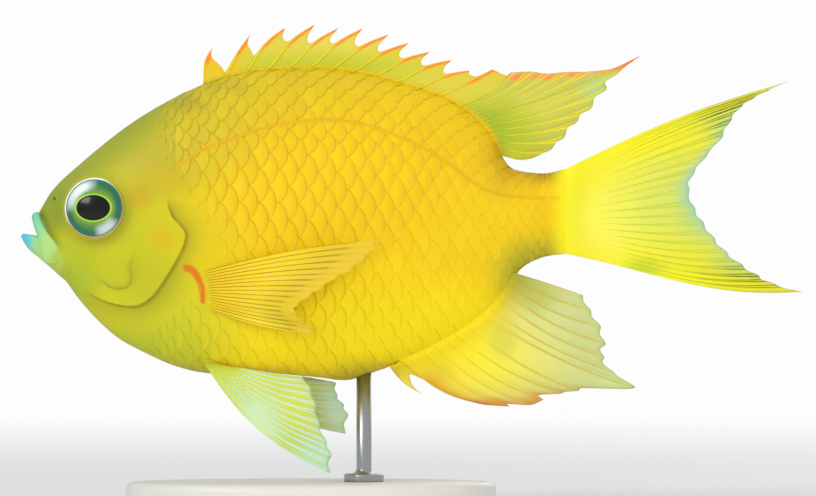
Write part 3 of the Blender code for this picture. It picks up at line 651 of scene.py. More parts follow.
def line_traits(points):
    """Painted shade, lateral line and axil marks at points given in fish measures."""
    flat = points[..., [0, 2]]
    far, along = nearest(flat, rear_edge)
    behind = ~is_inside(flat, cover_outline)
    # painted shadow behind the gill cover's free rear edge
    shade = (0.42 * bell(far, 0.45) + 0.36 * bell(far, 2.8)) * gill_fade(along) * behind
    far, along = nearest(flat, front_edge)
    middle = soft_step(along, 0.2, 0.4) * (1 - soft_step(along, 0.7, 1.0))
    # painted shade along the cheek's edge over the cover
    shade = shade + 0.25 * bell(far, 0.7) * middle
    far, along = nearest(flat, lip_crease)
    # painted shade in the crease behind the upper lip
    shade = shade + 0.75 * bell(far, 0.9) * (1 - 0.8 * along)
    from_eye = flat - EYE_AT
    reach = length_of(from_eye)
    low_rear = np.clip(0.5 + 0.5 * (from_eye @ (0.6, -0.8)) / np.maximum(reach, 1), 0, 1)
    # painted shadow in a ring low and behind round the eye
    shade = shade + 0.6 * bell(reach - 6.3, 1.7) * low_rear
    far, along = nearest(flat, lateral_line)
    lateral = 0.85 * bell(far, 0.42) * (1 - 0.5 * soft_step(along, 0.55, 0.85))
    far, along = nearest(flat, axil_line)
    axil = 0.95 * (1 - soft_step(far / (0.62 + 0.16 * (1 - along)), 0.65, 1.3))
    return {"shade": np.clip(shade, 0, 0.85), "lateral": lateral, "axil": axil}


gill_edge = length_of(np.diff(rear_edge, axis=0)).sum()
print("gill edge:", round(float(gill_edge), 1), "mm")

# %% [markdown]
# The skin is one tube from the snout to the root of the tail, closed at both ends. It lies a
# little inside the solids, by the depth of the scales. Its relief is pressed in by formulas:
# sockets for the eyes and nostrils, the step of the cheek over the gill cover, the hollow
# behind the cover, the crease over the lip and the pad under each pectoral fin.

# %% Skin
EYE_AT = (14.95, 1.15)
EYE_RADIUS = 6.2
NOSTRIL_AT = (6.9, 3.0)
ORBIT_REACH = 10.5
ORBIT_PULL = 1.8
SKIN_INSET = 0.14
SOCKET_DEPTH = 3.0
NOSTRIL_DEPTH = 0.8
PECTORAL_PAD = (38.2, -15.4)
PAD_HEIGHT = 0.4


def eye_frame(side):
    """Point of the cheek over the eye's centre, the way it faces, and its two directions. It
    faces halfway between the cheek's normal and straight sideways."""
    point = on_flank(*EYE_AT, side)
    facing = unit(on_flank(*EYE_AT, side, 1.0) - point + (0, side, 0))
    upward = unit((0, 0, 1) - facing[2] * facing)
    return point, facing, np.cross(upward, facing) * side, upward


def orbit(points, side):
    """Moves flesh round the eye out towards the eye's own plane: by up to ORBIT_PULL at the
    eye, and by nothing from ORBIT_REACH away or on the ridge of the snout."""
    point, facing, _, _ = eye_frame(side)
    gap = np.clip((point - points) @ facing, 0, ORBIT_PULL)
    reach = length_of(points[..., [0, 2]] - EYE_AT)
    near = (1 - soft_step(reach, EYE_RADIUS, ORBIT_REACH)) * soft_step(np.abs(points[..., 1]), 0, 4.5)
    return points + (gap * near)[..., None] * facing


def skin_relief(points):
    """Height of the relief at points of the flesh, in millimetres along the normal. In order:
    room for the scales, socket, nostril, step and hollow of the gill cover, lip crease, pad."""
    flat = points[..., [0, 2]]
    station = points[..., 0]
    relief = -SKIN_INSET * soft_step(station, 24, 34) * (1 - soft_step(station, 103, 108))
    from_eye = length_of(flat - EYE_AT)
    relief = relief - SOCKET_DEPTH * (1 - soft_step(from_eye, 5.0, EYE_RADIUS))
    from_nostril = length_of(flat - NOSTRIL_AT)
    relief = relief - NOSTRIL_DEPTH * (1 - soft_step(from_nostril, 0.2, 0.5))
    to_front, along_front = nearest(flat, front_edge)
    to_rear, along_rear = nearest(flat, rear_edge)
    inside = is_inside(flat, cover_outline)
    cheek = cheek_fade(along_front) * np.exp(-to_front / 2.0)
    relief = relief + np.where(inside, -0.3, 0.12 * (to_front < to_rear + 1.5)) * cheek
    relief = relief - 0.16 * bell(to_rear, 1.1) * gill_fade(along_rear) * ~inside
    to_crease, along = nearest(flat, lip_crease)
    relief = relief - 0.2 * bell(to_crease, 0.45) * (1 - 0.5 * along)
    pad = length_of((flat - PECTORAL_PAD) / (3.2, 5.6))
    return relief + PAD_HEIGHT * (1 - soft_step(pad, 0.35, 1.0))


def skin_stations():
    """Closer rings on the head, where the relief is, and two close ones at the tail's end, so
    that its flat end does not bend the shading of the side."""
    return np.concatenate([np.linspace(SNOUT, 9, 40, endpoint=False),
                           np.linspace(9, 35, 96, endpoint=False),
                           np.linspace(35, TAIL_ROOT - 0.03, 160), [TAIL_ROOT]])


def build_skin(finish):
    """Rings of the body, left side upwards and right side downwards, closed at both ends."""
    station = skin_stations()[:, None]
    half_ring = np.linspace(-1, 1, 150, endpoint=False)
    rings, normals = [], []
    for side, shares in ((LEFT, half_ring), (RIGHT, -half_ring)):
        rings.append(orbit(body_point(station, shares[None], side), side))
        normals.append(body_normal(station, shares[None], side))
    ring = np.concatenate(rings, axis=1)
    normal = np.concatenate(normals, axis=1)
    points, faces = tube_with_ends(ring + normal * skin_relief(ring)[..., None])
    traits = {key: with_middles(values) for key, values in line_traits(ring).items()}
    return add_piece("skin", points, faces, finish, ("head", "trunk", "tail"), traits)


skin_finish = damp_finish("skin_paint", 0.48, 0.17, 0.03, 0.05, 1.5)
skin_finish.colour(body_paint(skin_finish))
skin_finish.bump(skin_finish.noise(0.5, 3.0), 0.25, 0.05)
build_skin(skin_finish)

# %% [markdown]
# A scale is a thin plate, rounded at its free rear edge. The coat is a lattice in the skin's
# own measures: columns follow each other along the body, and every other column is shifted by
# half a scale. The pitch shrinks towards nape and tail, so rows run together as on the fish.

# %% Scales
SCALE_PITCH = ((22.0, 2.4), (30.0, 3.2), (44.0, 3.9), (74.0, 3.8), (90.0, 3.0), (100.0, 2.2),
               (TAIL_ROOT, 1.7))
SCALE_LIFT = 0.13
ROW_STEP, HIGH_ROW_STEP = 1.7, 1.25
COAT_FRONT = ((22.0, 30.0), (23.0, 20.0), (25.5, 12.0), (29.0, 7.0), (33.5, 1.0), (36.5, -6.0),
              (33.5, -13.0), (30.0, -18.0), (24.0, -21.5), (19.0, -27.0), (17.0, -36.0))


def scale_lattice():
    """Station, distance from the widest level, pitch, height and fade of every scale of one
    side. Columns are half a pitch apart. Scales stand ROW_STEP pitches apart upwards, and
    HIGH_ROW_STEP pitches from two rows above the widest level."""
    stations, station = [], 22.0
    while station < TAIL_ROOT:
        stations.append(station)
        station += 0.5 * float(through(SCALE_PITCH, station))
    stations = np.array(stations)[:, None]
    shift = 0.5 * (np.arange(len(stations)) % 2)[:, None]
    pitch = through(SCALE_PITCH, stations)
    row = np.arange(-16, 24)[None] + shift
    distance = pitch * (ROW_STEP * np.minimum(row, 1.5) + HIGH_ROW_STEP * np.maximum(row - 1.5, 0))
    height_of = pitch * np.where(row > 1.7, HIGH_ROW_STEP, ROW_STEP)
    upper, lower = quarter_length(stations, True), quarter_length(stations, False)
    share = np.where(distance > 0, distance / upper, distance / lower)
    height = body_point(stations, np.clip(share, -1, 1), RIGHT)[..., 2]
    front = np.interp(-height, [-h for _, h in COAT_FRONT], [s for s, _ in COAT_FRONT])
    spot = stacked(stations, height)
    on_pad = length_of((spot - PECTORAL_PAD) / (4.2, 5.6)) < 1
    near_axil = nearest(spot, axil_line)[0] < 1.5
    on_body = (np.abs(share) < 1 + 0.4 * pitch / upper) & (stations > front)
    keep = on_body & ~on_pad & ~near_axil & (stations + 0.8 * pitch < TAIL_ROOT - 0.2)
    ramp = soft_step(stations - front, -1, 9) * (1 - 0.85 * soft_step(stations, 101, 107))
    return tuple(np.broadcast_to(values, share.shape)[keep, None, None]
                 for values in (stations, distance, pitch, height_of, ramp))


def build_scales(word, side, finish):
    """Each scale is a grid of u (across) and v (along): its length is
    0.45 + 0.55 sqrt(1 - (0.95 u)^2) of the whole, and it rises from its root to its free edge,
    less near the front of the coat, on the nape and low on the flank."""
    rng = np.random.default_rng(11)
    station, distance, pitch, tall, ramp = scale_lattice()
    u = np.linspace(-1, 1, 11)[None, None, :]
    v = np.array([0.0, 0.4, 0.7, 0.88, 1.0])[None, :, None]
    reach = 0.45 + 0.55 * np.sqrt(1 - (0.95 * u) ** 2)
    vary = 1 + 0.05 * rng.standard_normal(station.shape)
    length = 1.6 * pitch * vary
    s = station + length * (v * reach - 0.5)
    a = distance + 0.56 * tall * u * (0.9 + 0.1 * vary)
    upper, lower = quarter_length(s, True), quarter_length(s, False)
    share = np.clip(np.where(a > 0, a / upper, a / lower), -1, 1)
    base = body_point(s, share, side)
    normal = body_normal(s, share, side)
    nape = soft_step(distance, 6, 16) * (1 - soft_step(station, 34, 62))
    flatter = 0.65 * soft_step(-distance, 4, 15) + 0.4 * nape
    raised = np.clip(pitch / 3.6, 0.4, 1) * ramp * (1 - flatter)
    root = -0.14 - 0.1 * (1 - ramp)
    lift = root + (SCALE_LIFT * raised - root) * v**0.7 - 0.06 * u**2 * v + skin_relief(base)
    top = base + normal * lift[..., None]
    under = base + normal * (np.minimum(lift - 0.1, skin_relief(base) - 0.22))[..., None]
    count, rows, columns = top.shape[:3]
    points = with_rim(top, rows, columns)
    points[:, rows * columns:] = under.reshape(count, -1, 3)[:, rim_of(rows, columns)]
    per = points.shape[1]
    faces = [(group[None] + per * np.arange(count)[:, None, None]).reshape(-1, group.shape[1])
             for group in scale_faces(rows, columns)]
    traits = {key: with_rim(values, rows, columns) for key, values in line_traits(top).items()}
    edge = soft_step(v, 0.72, 1.0) * (0.45 + 0.55 * (1 - u**2)) * ramp
    traits["edge"] = with_rim(edge, rows, columns)
    traits["grown"] = with_rim(v * reach + 0 * station, rows, columns)
    traits["tone"] = np.repeat(rng.random(count), per)
    root_u = (station - SNOUT) / TAIL_ROOT
    up_share = np.clip(distance / upper.mean((1, 2), keepdims=True), -1, 1)
    root_v = 0.5 + side * (0.25 + 0.24 * up_share)
    spots = stacked(root_u, root_v) + stacked(v - 0.5, u / 2) * 0.003
    return add_piece(f"scales_{word}", points, faces, finish, ("trunk", "tail"), traits,
                     {"OFBake": with_rim(spots, rows, columns)})


def with_rim(values, rows, columns):
    """Adds the rim's values again, for the points under the rim."""
    flat = np.ascontiguousarray(values).reshape(len(values), rows * columns, *values.shape[3:])
    return np.concatenate([flat, flat[:, rim_of(rows, columns)]], 1)


def scale_faces(rows, columns):
    """Top grid, wall round the rim and one flat floor."""
    rim = rim_of(rows, columns)
    low = rows * columns + np.arange(len(rim))
    wall = stacked(rim, low, np.roll(low, -1), np.roll(rim, -1))
    floor = stacked(low[0], low[2:], low[1:-1])
    return [grid_faces(rows, columns), wall[:, ::-1], floor[:, ::-1]]


scale_finish = damp_finish("scale_paint", 0.45, 0.2, 0.04, 0.05, 1.5)
station, _, height = scale_finish.place()
away = oval_reach(station - 58, height - 9, 38, 17)
arc_mask = scale_finish.trait("edge") * scale_finish.ease(away, 1.15, 0.6)
scale_finish.colour(scale_finish.coats(
    body_paint(scale_finish), (paint_chip(250, 214, 20), scale_finish.trait("tone") * 0.25),
    (paint_chip(222, 166, 20), arc_mask * 0.6)))
grown = scale_finish.trait("grown")
rings = grown.math("SINE", grown * 70)
scale_finish.bump(rings * 0.5 + scale_finish.noise(0.35), 0.15, 0.04)
for word, side in SIDES:
    build_scales(word, side, scale_finish)

# %% [markdown]
# The lateral line is a canal under a row of pierced scales. On the model it is a low rounded
# ridge along its curve, with a pore every 1.6 mm pressed in as a small dip.

# %% Lateral line
RIDGE_HALF_WIDTH, RIDGE_HEIGHT = 0.36, 0.28
PORE_PITCH, PORE_DEPTH = 1.6, 0.1


def build_lateral_line(word, side, finish):
    """Across the ridge, height is RIDGE_HEIGHT cos(angle) less the bell of a pore, and both
    fade out within 4 mm of the ends."""
    line = curve(LATERAL, 420)
    square = square_to(np.gradient(line, axis=0))
    length = np.concatenate([[0], np.cumsum(length_of(np.diff(line, axis=0)))])
    ends = np.clip(np.minimum(length, length[-1] - length) / 4, 0, 1)[:, None] ** 0.5
    angle = np.linspace(-1, 1, 9)[None] * math.pi / 2
    flat = line[:, None] + square[:, None] * (RIDGE_HALF_WIDTH * ends * np.sin(angle))[..., None]
    from_pore = (length % PORE_PITCH - PORE_PITCH / 2)[:, None]
    pore = PORE_DEPTH * bell(from_pore, 0.28) * np.cos(angle) ** 2
    lift = -0.22 + (RIDGE_HEIGHT * np.cos(angle) - pore) * ends
    outer = on_flank(flat[..., 0], flat[..., 1], side, lift)
    inner = on_flank(flat[..., 0], flat[..., 1], side, -0.6)
    traits = {key: both_faces(values) for key, values in line_traits(outer).items()}
    return add_piece(f"lateral_line_{word}", np.stack([outer, inner]), sheet_faces(*lift.shape),
                     finish, ("trunk",), traits)


for word, side in SIDES:
    build_lateral_line(word, side, skin_finish)

# %% [markdown]
# The gill cover is a thin bony plate. Its front lies under the edge of the cheek, and its rear
# edge stands free. A sheet between the two edge curves gives that layering with crisp edges.

# %% Gill covers
COVER_LIFT = 0.52


def build_cover(word, side, finish):
    """Straight lines from the front curve to the rear curve. The lift runs from under the
    cheek to its full height, and the last tenth is rounded over."""
    across = np.concatenate([np.linspace(0, 0.9, 28, endpoint=False), np.linspace(0.9, 1, 9)])
    flat = front_edge[:, None] * (1 - across[:, None]) + rear_edge[:, None] * across[:, None]
    along = np.linspace(0, 1, len(flat))[:, None]
    ends, step = gill_fade(along), cheek_fade(along)
    start = -0.4 + 0.3 * step
    lift = start + (COVER_LIFT * ends - 0.3 * (1 - ends) - start) * across**1.1
    rounded = np.sqrt(np.clip(1 - ((across - 0.9) / 0.1).clip(0) ** 2, 0, 1))
    lift = lift - 0.3 * (1 - rounded)
    outer = on_flank(flat[..., 0], flat[..., 1], side, lift)
    inner = on_flank(flat[..., 0], flat[..., 1], side, lift - 0.25 - 0.7 * rounded)
    traits = {key: both_faces(values) for key, values in line_traits(outer).items()}
    # painted shade along the plate's front, under the cheek's edge
    traits["shade"] = both_faces(0.2 * bell(across, 0.14) * step)
    return add_piece(f"gill_plate_{word}", np.stack([outer, inner]), sheet_faces(*lift.shape),
                     finish, (f"gill_cover_{word}",), traits)


for word, side in SIDES:
    build_cover(word, side, skin_finish)

# %% [markdown]
# A fish's eye has no lids. The ball is a low dome in a fleshy rim, and the round lens shows in
# the pupil as a second, steeper dome. The iris is painted by two distances: from the oval
# pupil near the middle, and from the centre near the rim. Highlights are painted on it as well:
# silvery glints at the upper front and low at the back, and a near-white upper front on the
# gold rim.

# %% Eyes
EYE_DOME = 1.5
PUPIL_HALF = (3.45, 2.55)
EYE_SINK = 0.2


def build_eye(word, side, finish):
    """Dome height is EYE_DOME (1 - (r / R)^2)^0.6, plus a bell for the lens; behind the rim it
    turns back into the socket."""
    point, facing, ahead, upward = eye_frame(side)
    turn = full_turn(96)[None]
    radius = EYE_RADIUS * np.sin(np.linspace(0.02, math.pi / 2, 44))[:, None]
    x, y = radius * np.cos(turn), radius * np.sin(turn)
    oval = np.hypot(x / PUPIL_HALF[0], y / PUPIL_HALF[1])
    rise = EYE_DOME * (1 - (radius / EYE_RADIUS) ** 2) ** 0.6
    rise = rise + 0.45 * bell(oval, 0.95) - 0.12 * bell(oval - 1.06, 0.1)
    behind = np.array([0.6, 1.4, 2.2])[:, None]
    shrink = np.array([0.98, 0.8, 0.3])[:, None]
    x = np.concatenate([x, EYE_RADIUS * shrink * np.cos(turn)])
    y = np.concatenate([y, EYE_RADIUS * shrink * np.sin(turn)])
    rise = np.concatenate([rise, -behind + 0 * turn]) - EYE_SINK
    points, faces = tube_with_ends(point + rise[..., None] * facing + x[..., None] * ahead
                                   + y[..., None] * upward)
    plan = stacked(x, y).reshape(-1, 2) / (2 * EYE_RADIUS) + 0.5
    plan = np.concatenate([plan, np.full((2, 2), 0.5)])
    return add_piece(f"eyeball_{word}", points, faces, finish, (f"eye_{word}",),
                     plans={"EyePlan": plan})


eye_finish = Finish("eye_paint", roughness=0.3, coat_weight=0.45, coat_roughness=0.13,
                    specular_ior_level=0.15)
ahead, upright = ((axis - 0.5) * (2 * EYE_RADIUS) for axis in eye_finish.plan("EyePlan"))
oval = oval_reach(ahead, upright, *PUPIL_HALF)
outward = oval_reach(ahead, upright, EYE_RADIUS, EYE_RADIUS)
spoke = outward * EYE_RADIUS
# Painted highlights: silvery glints on the iris at the upper front and, weaker, low at the back.
front_up = (ahead * 0.72 + upright * 0.69) / spoke
back_down = (ahead * -0.56 + upright * -0.83) / spoke
band = eye_finish.ease(outward, 0.5, 0.74) * eye_finish.ease(outward, 0.93, 0.84)
painted_highlights = eye_finish.ease(front_up, 0.5, 0.98) * 0.95 + eye_finish.ease(back_down, 0.82, 1.0) * 0.75
# The gold rim of the iris is painted near-white towards the upper front, as a highlight.
pale = eye_finish.ease(ahead + upright, 0.0, 5.6)
rim_gold_and_highlight = eye_finish.mix(paint_chip(196, 176, 84), paint_chip(246, 246, 234), pale)
eye_finish.colour(eye_finish.coats(
    paint_chip(114, 156, 52),
    (paint_chip(80, 128, 58), eye_finish.ease(oval, 1.05, 1.6)),
    (paint_chip(38, 104, 70), eye_finish.ease(outward, 0.61, 0.83)),
    (paint_chip(36, 104, 128), eye_finish.ease(outward, 0.84, 0.9)),
    (paint_chip(214, 224, 224), painted_highlights * band),
    (rim_gold_and_highlight, eye_finish.ease(outward, 0.915, 0.935)),
    (paint_chip(168, 214, 62), eye_finish.ease(oval, 1.13, 1.06)),
    (paint_chip(4, 4, 5), eye_finish.ease(oval, 1.03, 0.98))))
for word, side in SIDES:
    build_eye(word, side, eye_finish)

# %% [markdown]
# The rim of the eye socket and the nostril are both rings raised from the cheek. A ring patch
# follows the cheek at its outer edge, so it has no visible border, and its inner edge turns
# down against the eyeball or into the nostril.

# %% Eye rims and nostrils
# radius, lift and painted shade of each ring; the shade darkens the pit
NOSTRIL_RINGS = (
    (1.2, -0.1, 0), (1.0, 0, 0), (0.8, 0.04, 0), (0.65, 0.08, 0), (0.52, 0.11, 0), (0.42, 0.08, 0.1),
    (0.34, 0, 0.3), (0.26, -0.25, 0.5), (0.16, -0.45, 0.6), (0.04, -0.5, 0.6), (0.04, -0.9, 0.6),
    (1.2, -0.9, 0),
)


def closed_ring(grid):
    """Joins the last ring of a patch to its first, under the surface."""
    rows, columns = grid.shape[:2]
    return grid_faces(rows + 1, columns, closed=True) % (rows * columns)


def build_rim(word, side, finish):
    """From the cheek at 7.6 mm in to the eyeball at 6 mm. Near the eyeball the ring leaves
    the cheek's curve for the eye's own plane, and a bell raises its crest."""
    point, facing, ahead, upward = eye_frame(side)
    t = np.linspace(0, 1, 26)[:, None]
    turn = full_turn(120)[None]
    radius = 7.6 - 1.55 * t
    skin_ring = orbit(on_flank(EYE_AT[0] - radius * np.cos(turn), EYE_AT[1] + radius * np.sin(turn),
                               side, -0.12 + 0.14 * soft_step(t, 0, 0.3)), side)
    flat_ring = (point + (radius * np.cos(turn))[..., None] * ahead
                 + (radius * np.sin(turn))[..., None] * upward + 0.1 * facing)
    lean = soft_step(t, 0.0, 0.75)[..., None]
    crest = (0.26 * bell(t - 0.78, 0.2) - 0.9 * soft_step(t, 0.88, 1.0))[..., None]
    top = skin_ring * (1 - lean) + flat_ring * lean + crest * facing
    hidden = np.stack([top[-1] - 1.2 * facing, top[0] - 1.2 * facing])
    grid = np.concatenate([top, hidden])
    traits = line_traits(grid)
    traits["rim"] = np.concatenate([bell(t - 0.9, 0.06) + 0 * turn, np.zeros((2, 120))])
    return add_piece(f"eye_rim_{word}", grid, closed_ring(grid), finish, ("head",), traits)


def build_nostril(word, side, finish):
    """A raised ring, about 1 mm across its crest, round a pit: each ring of points has its own
    radius, lift and painted shade, which darkens the pit."""
    radii, lifts, shades = np.array(NOSTRIL_RINGS).T[..., None]
    turn = full_turn(40)[None]
    s, h = NOSTRIL_AT[0] + radii * np.cos(turn), NOSTRIL_AT[1] + radii * np.sin(turn)
    grid = orbit(on_flank(s, h, side, lifts), side)
    traits = {key: 0 * s for key in ("lateral", "axil", "rim")}
    traits["shade"] = shades + 0 * turn
    return add_piece(f"nostril_{word}", grid, closed_ring(grid), finish, ("head",), traits)


rim_finish = damp_finish("rim_paint", 0.48, 0.17, 0.03, 0.05, 1.5)
rim_finish.colour(rim_finish.mix(body_paint(rim_finish), paint_chip(196, 186, 70),
                                 rim_finish.trait("rim") * 0.7))
rim_finish.bump(rim_finish.noise(0.5, 3.0), 0.2, 0.04)
for word, side in SIDES:
    build_rim(word, side, rim_finish)
    build_nostril(word, side, rim_finish)

# %% [markdown]
# The mouth is a rolled upper lip, swept round the snout, and a scoop-shaped lower jaw with a
# raised lip along its edge. Both fade from mint and blue at the front to the olive of the
# cheek, where they pass into the skin.

# %% Lips and jaw
LIP_PATH = ((3.1, -0.6), (3.6, -2.2), (4.4, -4.0), (5.3, -5.9), (6.2, -7.8), (7.0, -9.8))
LIP_SPAN = 4.0
LIP_BREADTH = ((0.0, 1.0), (0.35, 1.15), (0.66, 1.75), (0.8, 1.95), (0.9, 1.7), (0.97, 1.1),
               (1.0, 0.3))
JAW_TOP = ((0.0, -4.35), (0.6, -3.9), (2.1, -4.0), (3.8, -4.5), (5.0, -5.2), (6.5, -6.8),
           (7.8, -8.3), (9.0, -9.8), (10.5, -11.6))
JAW_CHIN = ((0.0, -4.5), (0.6, -5.7), (1.5, -7.0), (3.5, -8.7), (6.1, -10.9), (8.6, -13.1),
            (10.5, -14.2))
JAW_HALF_WIDTH = ((0.0, 0.3), (0.6, 1.1), (2.1, 2.1), (3.8, 2.9), (5.6, 3.45), (7.2, 3.7),
                  (8.6, 3.75), (9.6, 3.5), (10.5, 3.0))
JAW_LENGTH = JAW_TOP[-1][0]


def build_upper_lip(finish):
    """An oval carried along the lip line, which runs down one side of the snout, round its front
    and down the other side. It broadens to a leaf at the corners of the mouth, whose end dips
    into the cheek."""
    turn = np.linspace(-math.pi / 2, math.pi / 2, 241)
    share = 1 - np.cos(turn)
    line = curve(LIP_PATH, 200)
    s, h = (np.interp(share, np.linspace(0, 1, 200), column) for column in line.T)
    aside = LIP_SPAN * np.sin(turn) * (1 - 0.12 * soft_step(share, 0.76, 1.0))
    path = stacked(s, aside, h)
    tangent = unit(np.gradient(path, axis=0))
    outward = stacked(-np.cos(turn), np.sin(turn), 0)
    outward = unit(outward - (outward * tangent).sum(1)[:, None] * tangent)
    beside = np.cross(tangent, outward)
    breadth = through(LIP_BREADTH, share)
    depth = (0.95 - 0.3 * share) * np.clip((1.02 - share) / 0.35, 0.2, 1) ** 0.5
    around = full_turn(40)
    grid = (path[:, None] + outward[:, None] * (depth[:, None] * np.cos(around))[..., None]
            + beside[:, None] * (breadth[:, None] * np.sin(around))[..., None])
    points, faces = tube_with_ends(grid)
    traits = {key: np.zeros(len(points)) for key in ("shade", "lateral", "axil", "inner")}
    return add_piece("lip_upper", points, faces, finish, ("upper_lip",), traits)


def build_lower_jaw(finish):
    """Egg-shaped rings with a trough along the top, so that its two edges stand up as lips."""
    station = np.linspace(0, 1, 70)[:, None] ** 1.3 * JAW_LENGTH
    around = full_turn(72)[None]
    top, chin, half = (through(line, station) for line in (JAW_TOP, JAW_CHIN, JAW_HALF_WIDTH))
    level = top - 0.28 * (top - chin)
    sine = np.sin(around)
    y = half * np.cos(around)
    h = level + np.where(sine > 0, top - level, level - chin) * sine
    h = h + (top - level) * (1 - np.clip(1 - sine, 0, 1) ** 2.2 - sine) * (sine > 0)
    trough = 0.9 * soft_step(sine, 0.6, 1.0) * soft_step(station, 0.4, 1.8)
    points, faces = tube_with_ends(stacked(station, y, h - trough))
    traits = {key: np.zeros(len(points)) for key in ("shade", "lateral", "axil")}
    # painted shade inside the trough, towards the mouth
    inner = soft_step(sine, 0.45, 0.8) * soft_step(station, 0.5, 2.0)
    traits["inner"] = with_middles(inner)
    return add_piece("jaw_lower", points, faces, finish, ("lower_jaw",), traits)


lip_finish = damp_finish("lip_paint", 0.45, 0.3, 0.06, 0.08, 1.0)
station, _, height = lip_finish.place()
inward = station - height * 0.72
# The jaw's inner trough is painted darker brown, as shade inside the mouth.
lip_finish.colour(lip_finish.coats(
    LIP_BLUE, (LIP_GREEN, lip_finish.ease(station, 1.2, 3.4)),
    (LIP_MINT, lip_finish.ease(inward, 4.5, 9.5)),
    (body_paint(lip_finish), lip_finish.ease(inward, 11.2, 13.8)),
    (paint_chip(128, 112, 84), lip_finish.trait("inner") * 0.8)))
lip_finish.bump(lip_finish.noise(0.4, 3.0), 0.2, 0.05)
build_upper_lip(lip_finish)
build_lower_jaw(lip_finish)

# %% [markdown]
# A fin is a fan of rays in a thin web. One grid describes it: columns run from the root to the
# margin, several to each ray, and rows count the way out. Soft rays fork twice on their way
# out, so the crest of a ray is the highest of four bells that lie together at first and part.

# %% Fans of rays
WEB_HALF = 0.12
RAY_HALF = 0.3


def fan(roots, tips, per_ray, out, bow, reach, late=1.0, rays=1):
    """Side view of a fin. A column's point is root + out * reach * (tip - root), moved square
    to that by bow * sin(pi * out^late). Rays counts the rays from one tip to the next."""
    columns = np.arange((len(tips) - 1) * per_ray + 1) / per_ray
    share = columns / columns[-1]
    roots = np.array(roots, float)
    at = share * (len(roots) - 1)
    low = stacked(*(np.interp(at, np.arange(len(roots)), axis) for axis in roots.T))
    way = curve_at(tips, columns) - low
    go = out[:, None] * reach(columns)
    bend = np.sin(math.pi * np.clip(go, 0, 1) ** late) * bow(share)
    flat = low + go[..., None] * way + bend[..., None] * square_to(way)
    return SimpleNamespace(
        flat=flat, columns=columns, share=share, length=length_of(way),
        out=np.clip(out, 0, 1)[:, None], go=np.clip(go, 0, 1),
        off=(columns * rays - np.round(columns * rays))[None],
        spacing=length_of(np.gradient(flat, axis=1)) * per_ray / rays)


def soft_rays(fin, first=0.42, second=0.7, width=0.15):
    """Crest of soft rays: bells, a width in millimetres wide, at offsets +-d1 +-d2 from each
    ray, where d1 opens after the first fork and d2 after the second."""
    d1 = 0.21 * soft_step(fin.out, first, 1.15)
    d2 = 0.11 * soft_step(fin.out, second, 1.25)
    wide = np.clip(width / fin.spacing, 0.055, 0.2)
    ways = [(a, b) for a in (-1, 1) for b in (-1, 1)]
    return np.maximum.reduce([bell(fin.off - a * d1 - b * d2, wide) for a, b in ways])


def out_rows(count, sunk=0.06):
    """Rows from under the skin, at -sunk, to the margin at 1."""
    return np.concatenate([[-sunk], np.linspace(0, 1, count)])


def scallop(depth):
    """Reach of each column: 1 on a ray and 1 - depth halfway between two."""
    return lambda columns: 1 - depth * np.sin(math.pi * columns) ** 2


def stepped(depth, start):
    """Reach with a step behind each ray: cut in by depth within a fifth of the way to the next
    ray and growing out again after it."""
    def reach(columns):
        part = columns % 1
        cut = np.where(part < 0.2, soft_step(part, 0, 0.2), 1 - soft_step(part, 0.2, 1))
        return 1 - depth * cut * soft_step(columns, start - 1, start)
    return reach


def add_fin(name, fin, aside, half, finish, nodes, traits, margin=0.5, skin=0.6):
    """A closed sheet: the side view's grid, moved sideways, with a half thickness that is
    drawn in at the margin. Every fin carries its way out, its nearness to the margin and its
    nearness to the body, whose paint runs a little way up it."""
    half = half.copy()
    half[-1] *= 0.35
    half[-2] *= 0.75
    half[:, [0, -1]] *= 0.5
    faces = [stacked(fin.flat[..., 0], aside + way * half, fin.flat[..., 1]) for way in (-1, 1)]
    traits = dict(traits, out=fin.go, edge=np.exp(-(1 - fin.out) * fin.length / margin),
                  skin=np.exp(-(fin.go * fin.length / skin) ** 1.4))
    traits = {key: both_faces(np.broadcast_to(values, half.shape)) for key, values in traits.items()}
    return add_piece(name, faces, sheet_faces(*half.shape), finish, nodes, traits)


def sheath(fin, thick, reach):
    """Extra half thickness near the root, like the scaly skin that runs up onto a fin:
    thick * exp(-(distance / reach)^1.4)."""
    return thick * np.exp(-(fin.go * fin.length / reach) ** 1.4)


def thickness(fin, crest, skin=0.0, tall=RAY_HALF):
    """Half thickness of the web, the skin on it and the rays, which thin out on their way."""
    return WEB_HALF + skin + (tall - WEB_HALF) * crest * (1 - 0.6 * fin.out)


def pleat(fin, depth):
    """Folds of the web from ray to ray: depth * cos(2 pi column) * way out."""
    return depth * np.cos(2 * math.pi * fin.columns) * fin.out


def fin_finish(name, ground, marks, ray, ray_marks, margin, margin_marks, strengths, clear=0.2):
    """Paint of a fin: ground, rays and margin, each with its own marks, then the body's paint
    near the root. The web between the rays lets some light through towards the margin."""
    finish = damp_finish(name, 0.5, 0.3, 0.05, 0.06, 1.0)
    colour = lay_marks(finish, paint_chip(*ground), marks)
    rays = lay_marks(finish, paint_chip(*ray), ray_marks)
    edges = lay_marks(finish, paint_chip(*margin), margin_marks)
    crest = finish.trait("ray")
    patchy = 0.65 + 0.7 * finish.noise(3.0)
    colour = finish.mix(colour, rays, crest * patchy * strengths[0])
    colour = finish.mix(colour, edges, finish.trait("edge") * strengths[1])
    finish.web = finish.mix(colour, body_paint(finish), finish.trait("skin"))
    finish.colour(finish.web)
    finish.drive(alpha=1 - finish.ease(finish.trait("out"), 0.4, 1.0) * (1 - crest) * clear)
    finish.bump(finish.noise(0.5, 2.0), 0.15, 0.04)
    return finish


print("rows of a fin:", len(out_rows(40)))

# %% [markdown]
# The front of the dorsal fin stands on thirteen stiff spines. From the tip of each spine the
# web falls away steeply to the front of the next one, whose upper half stands free.

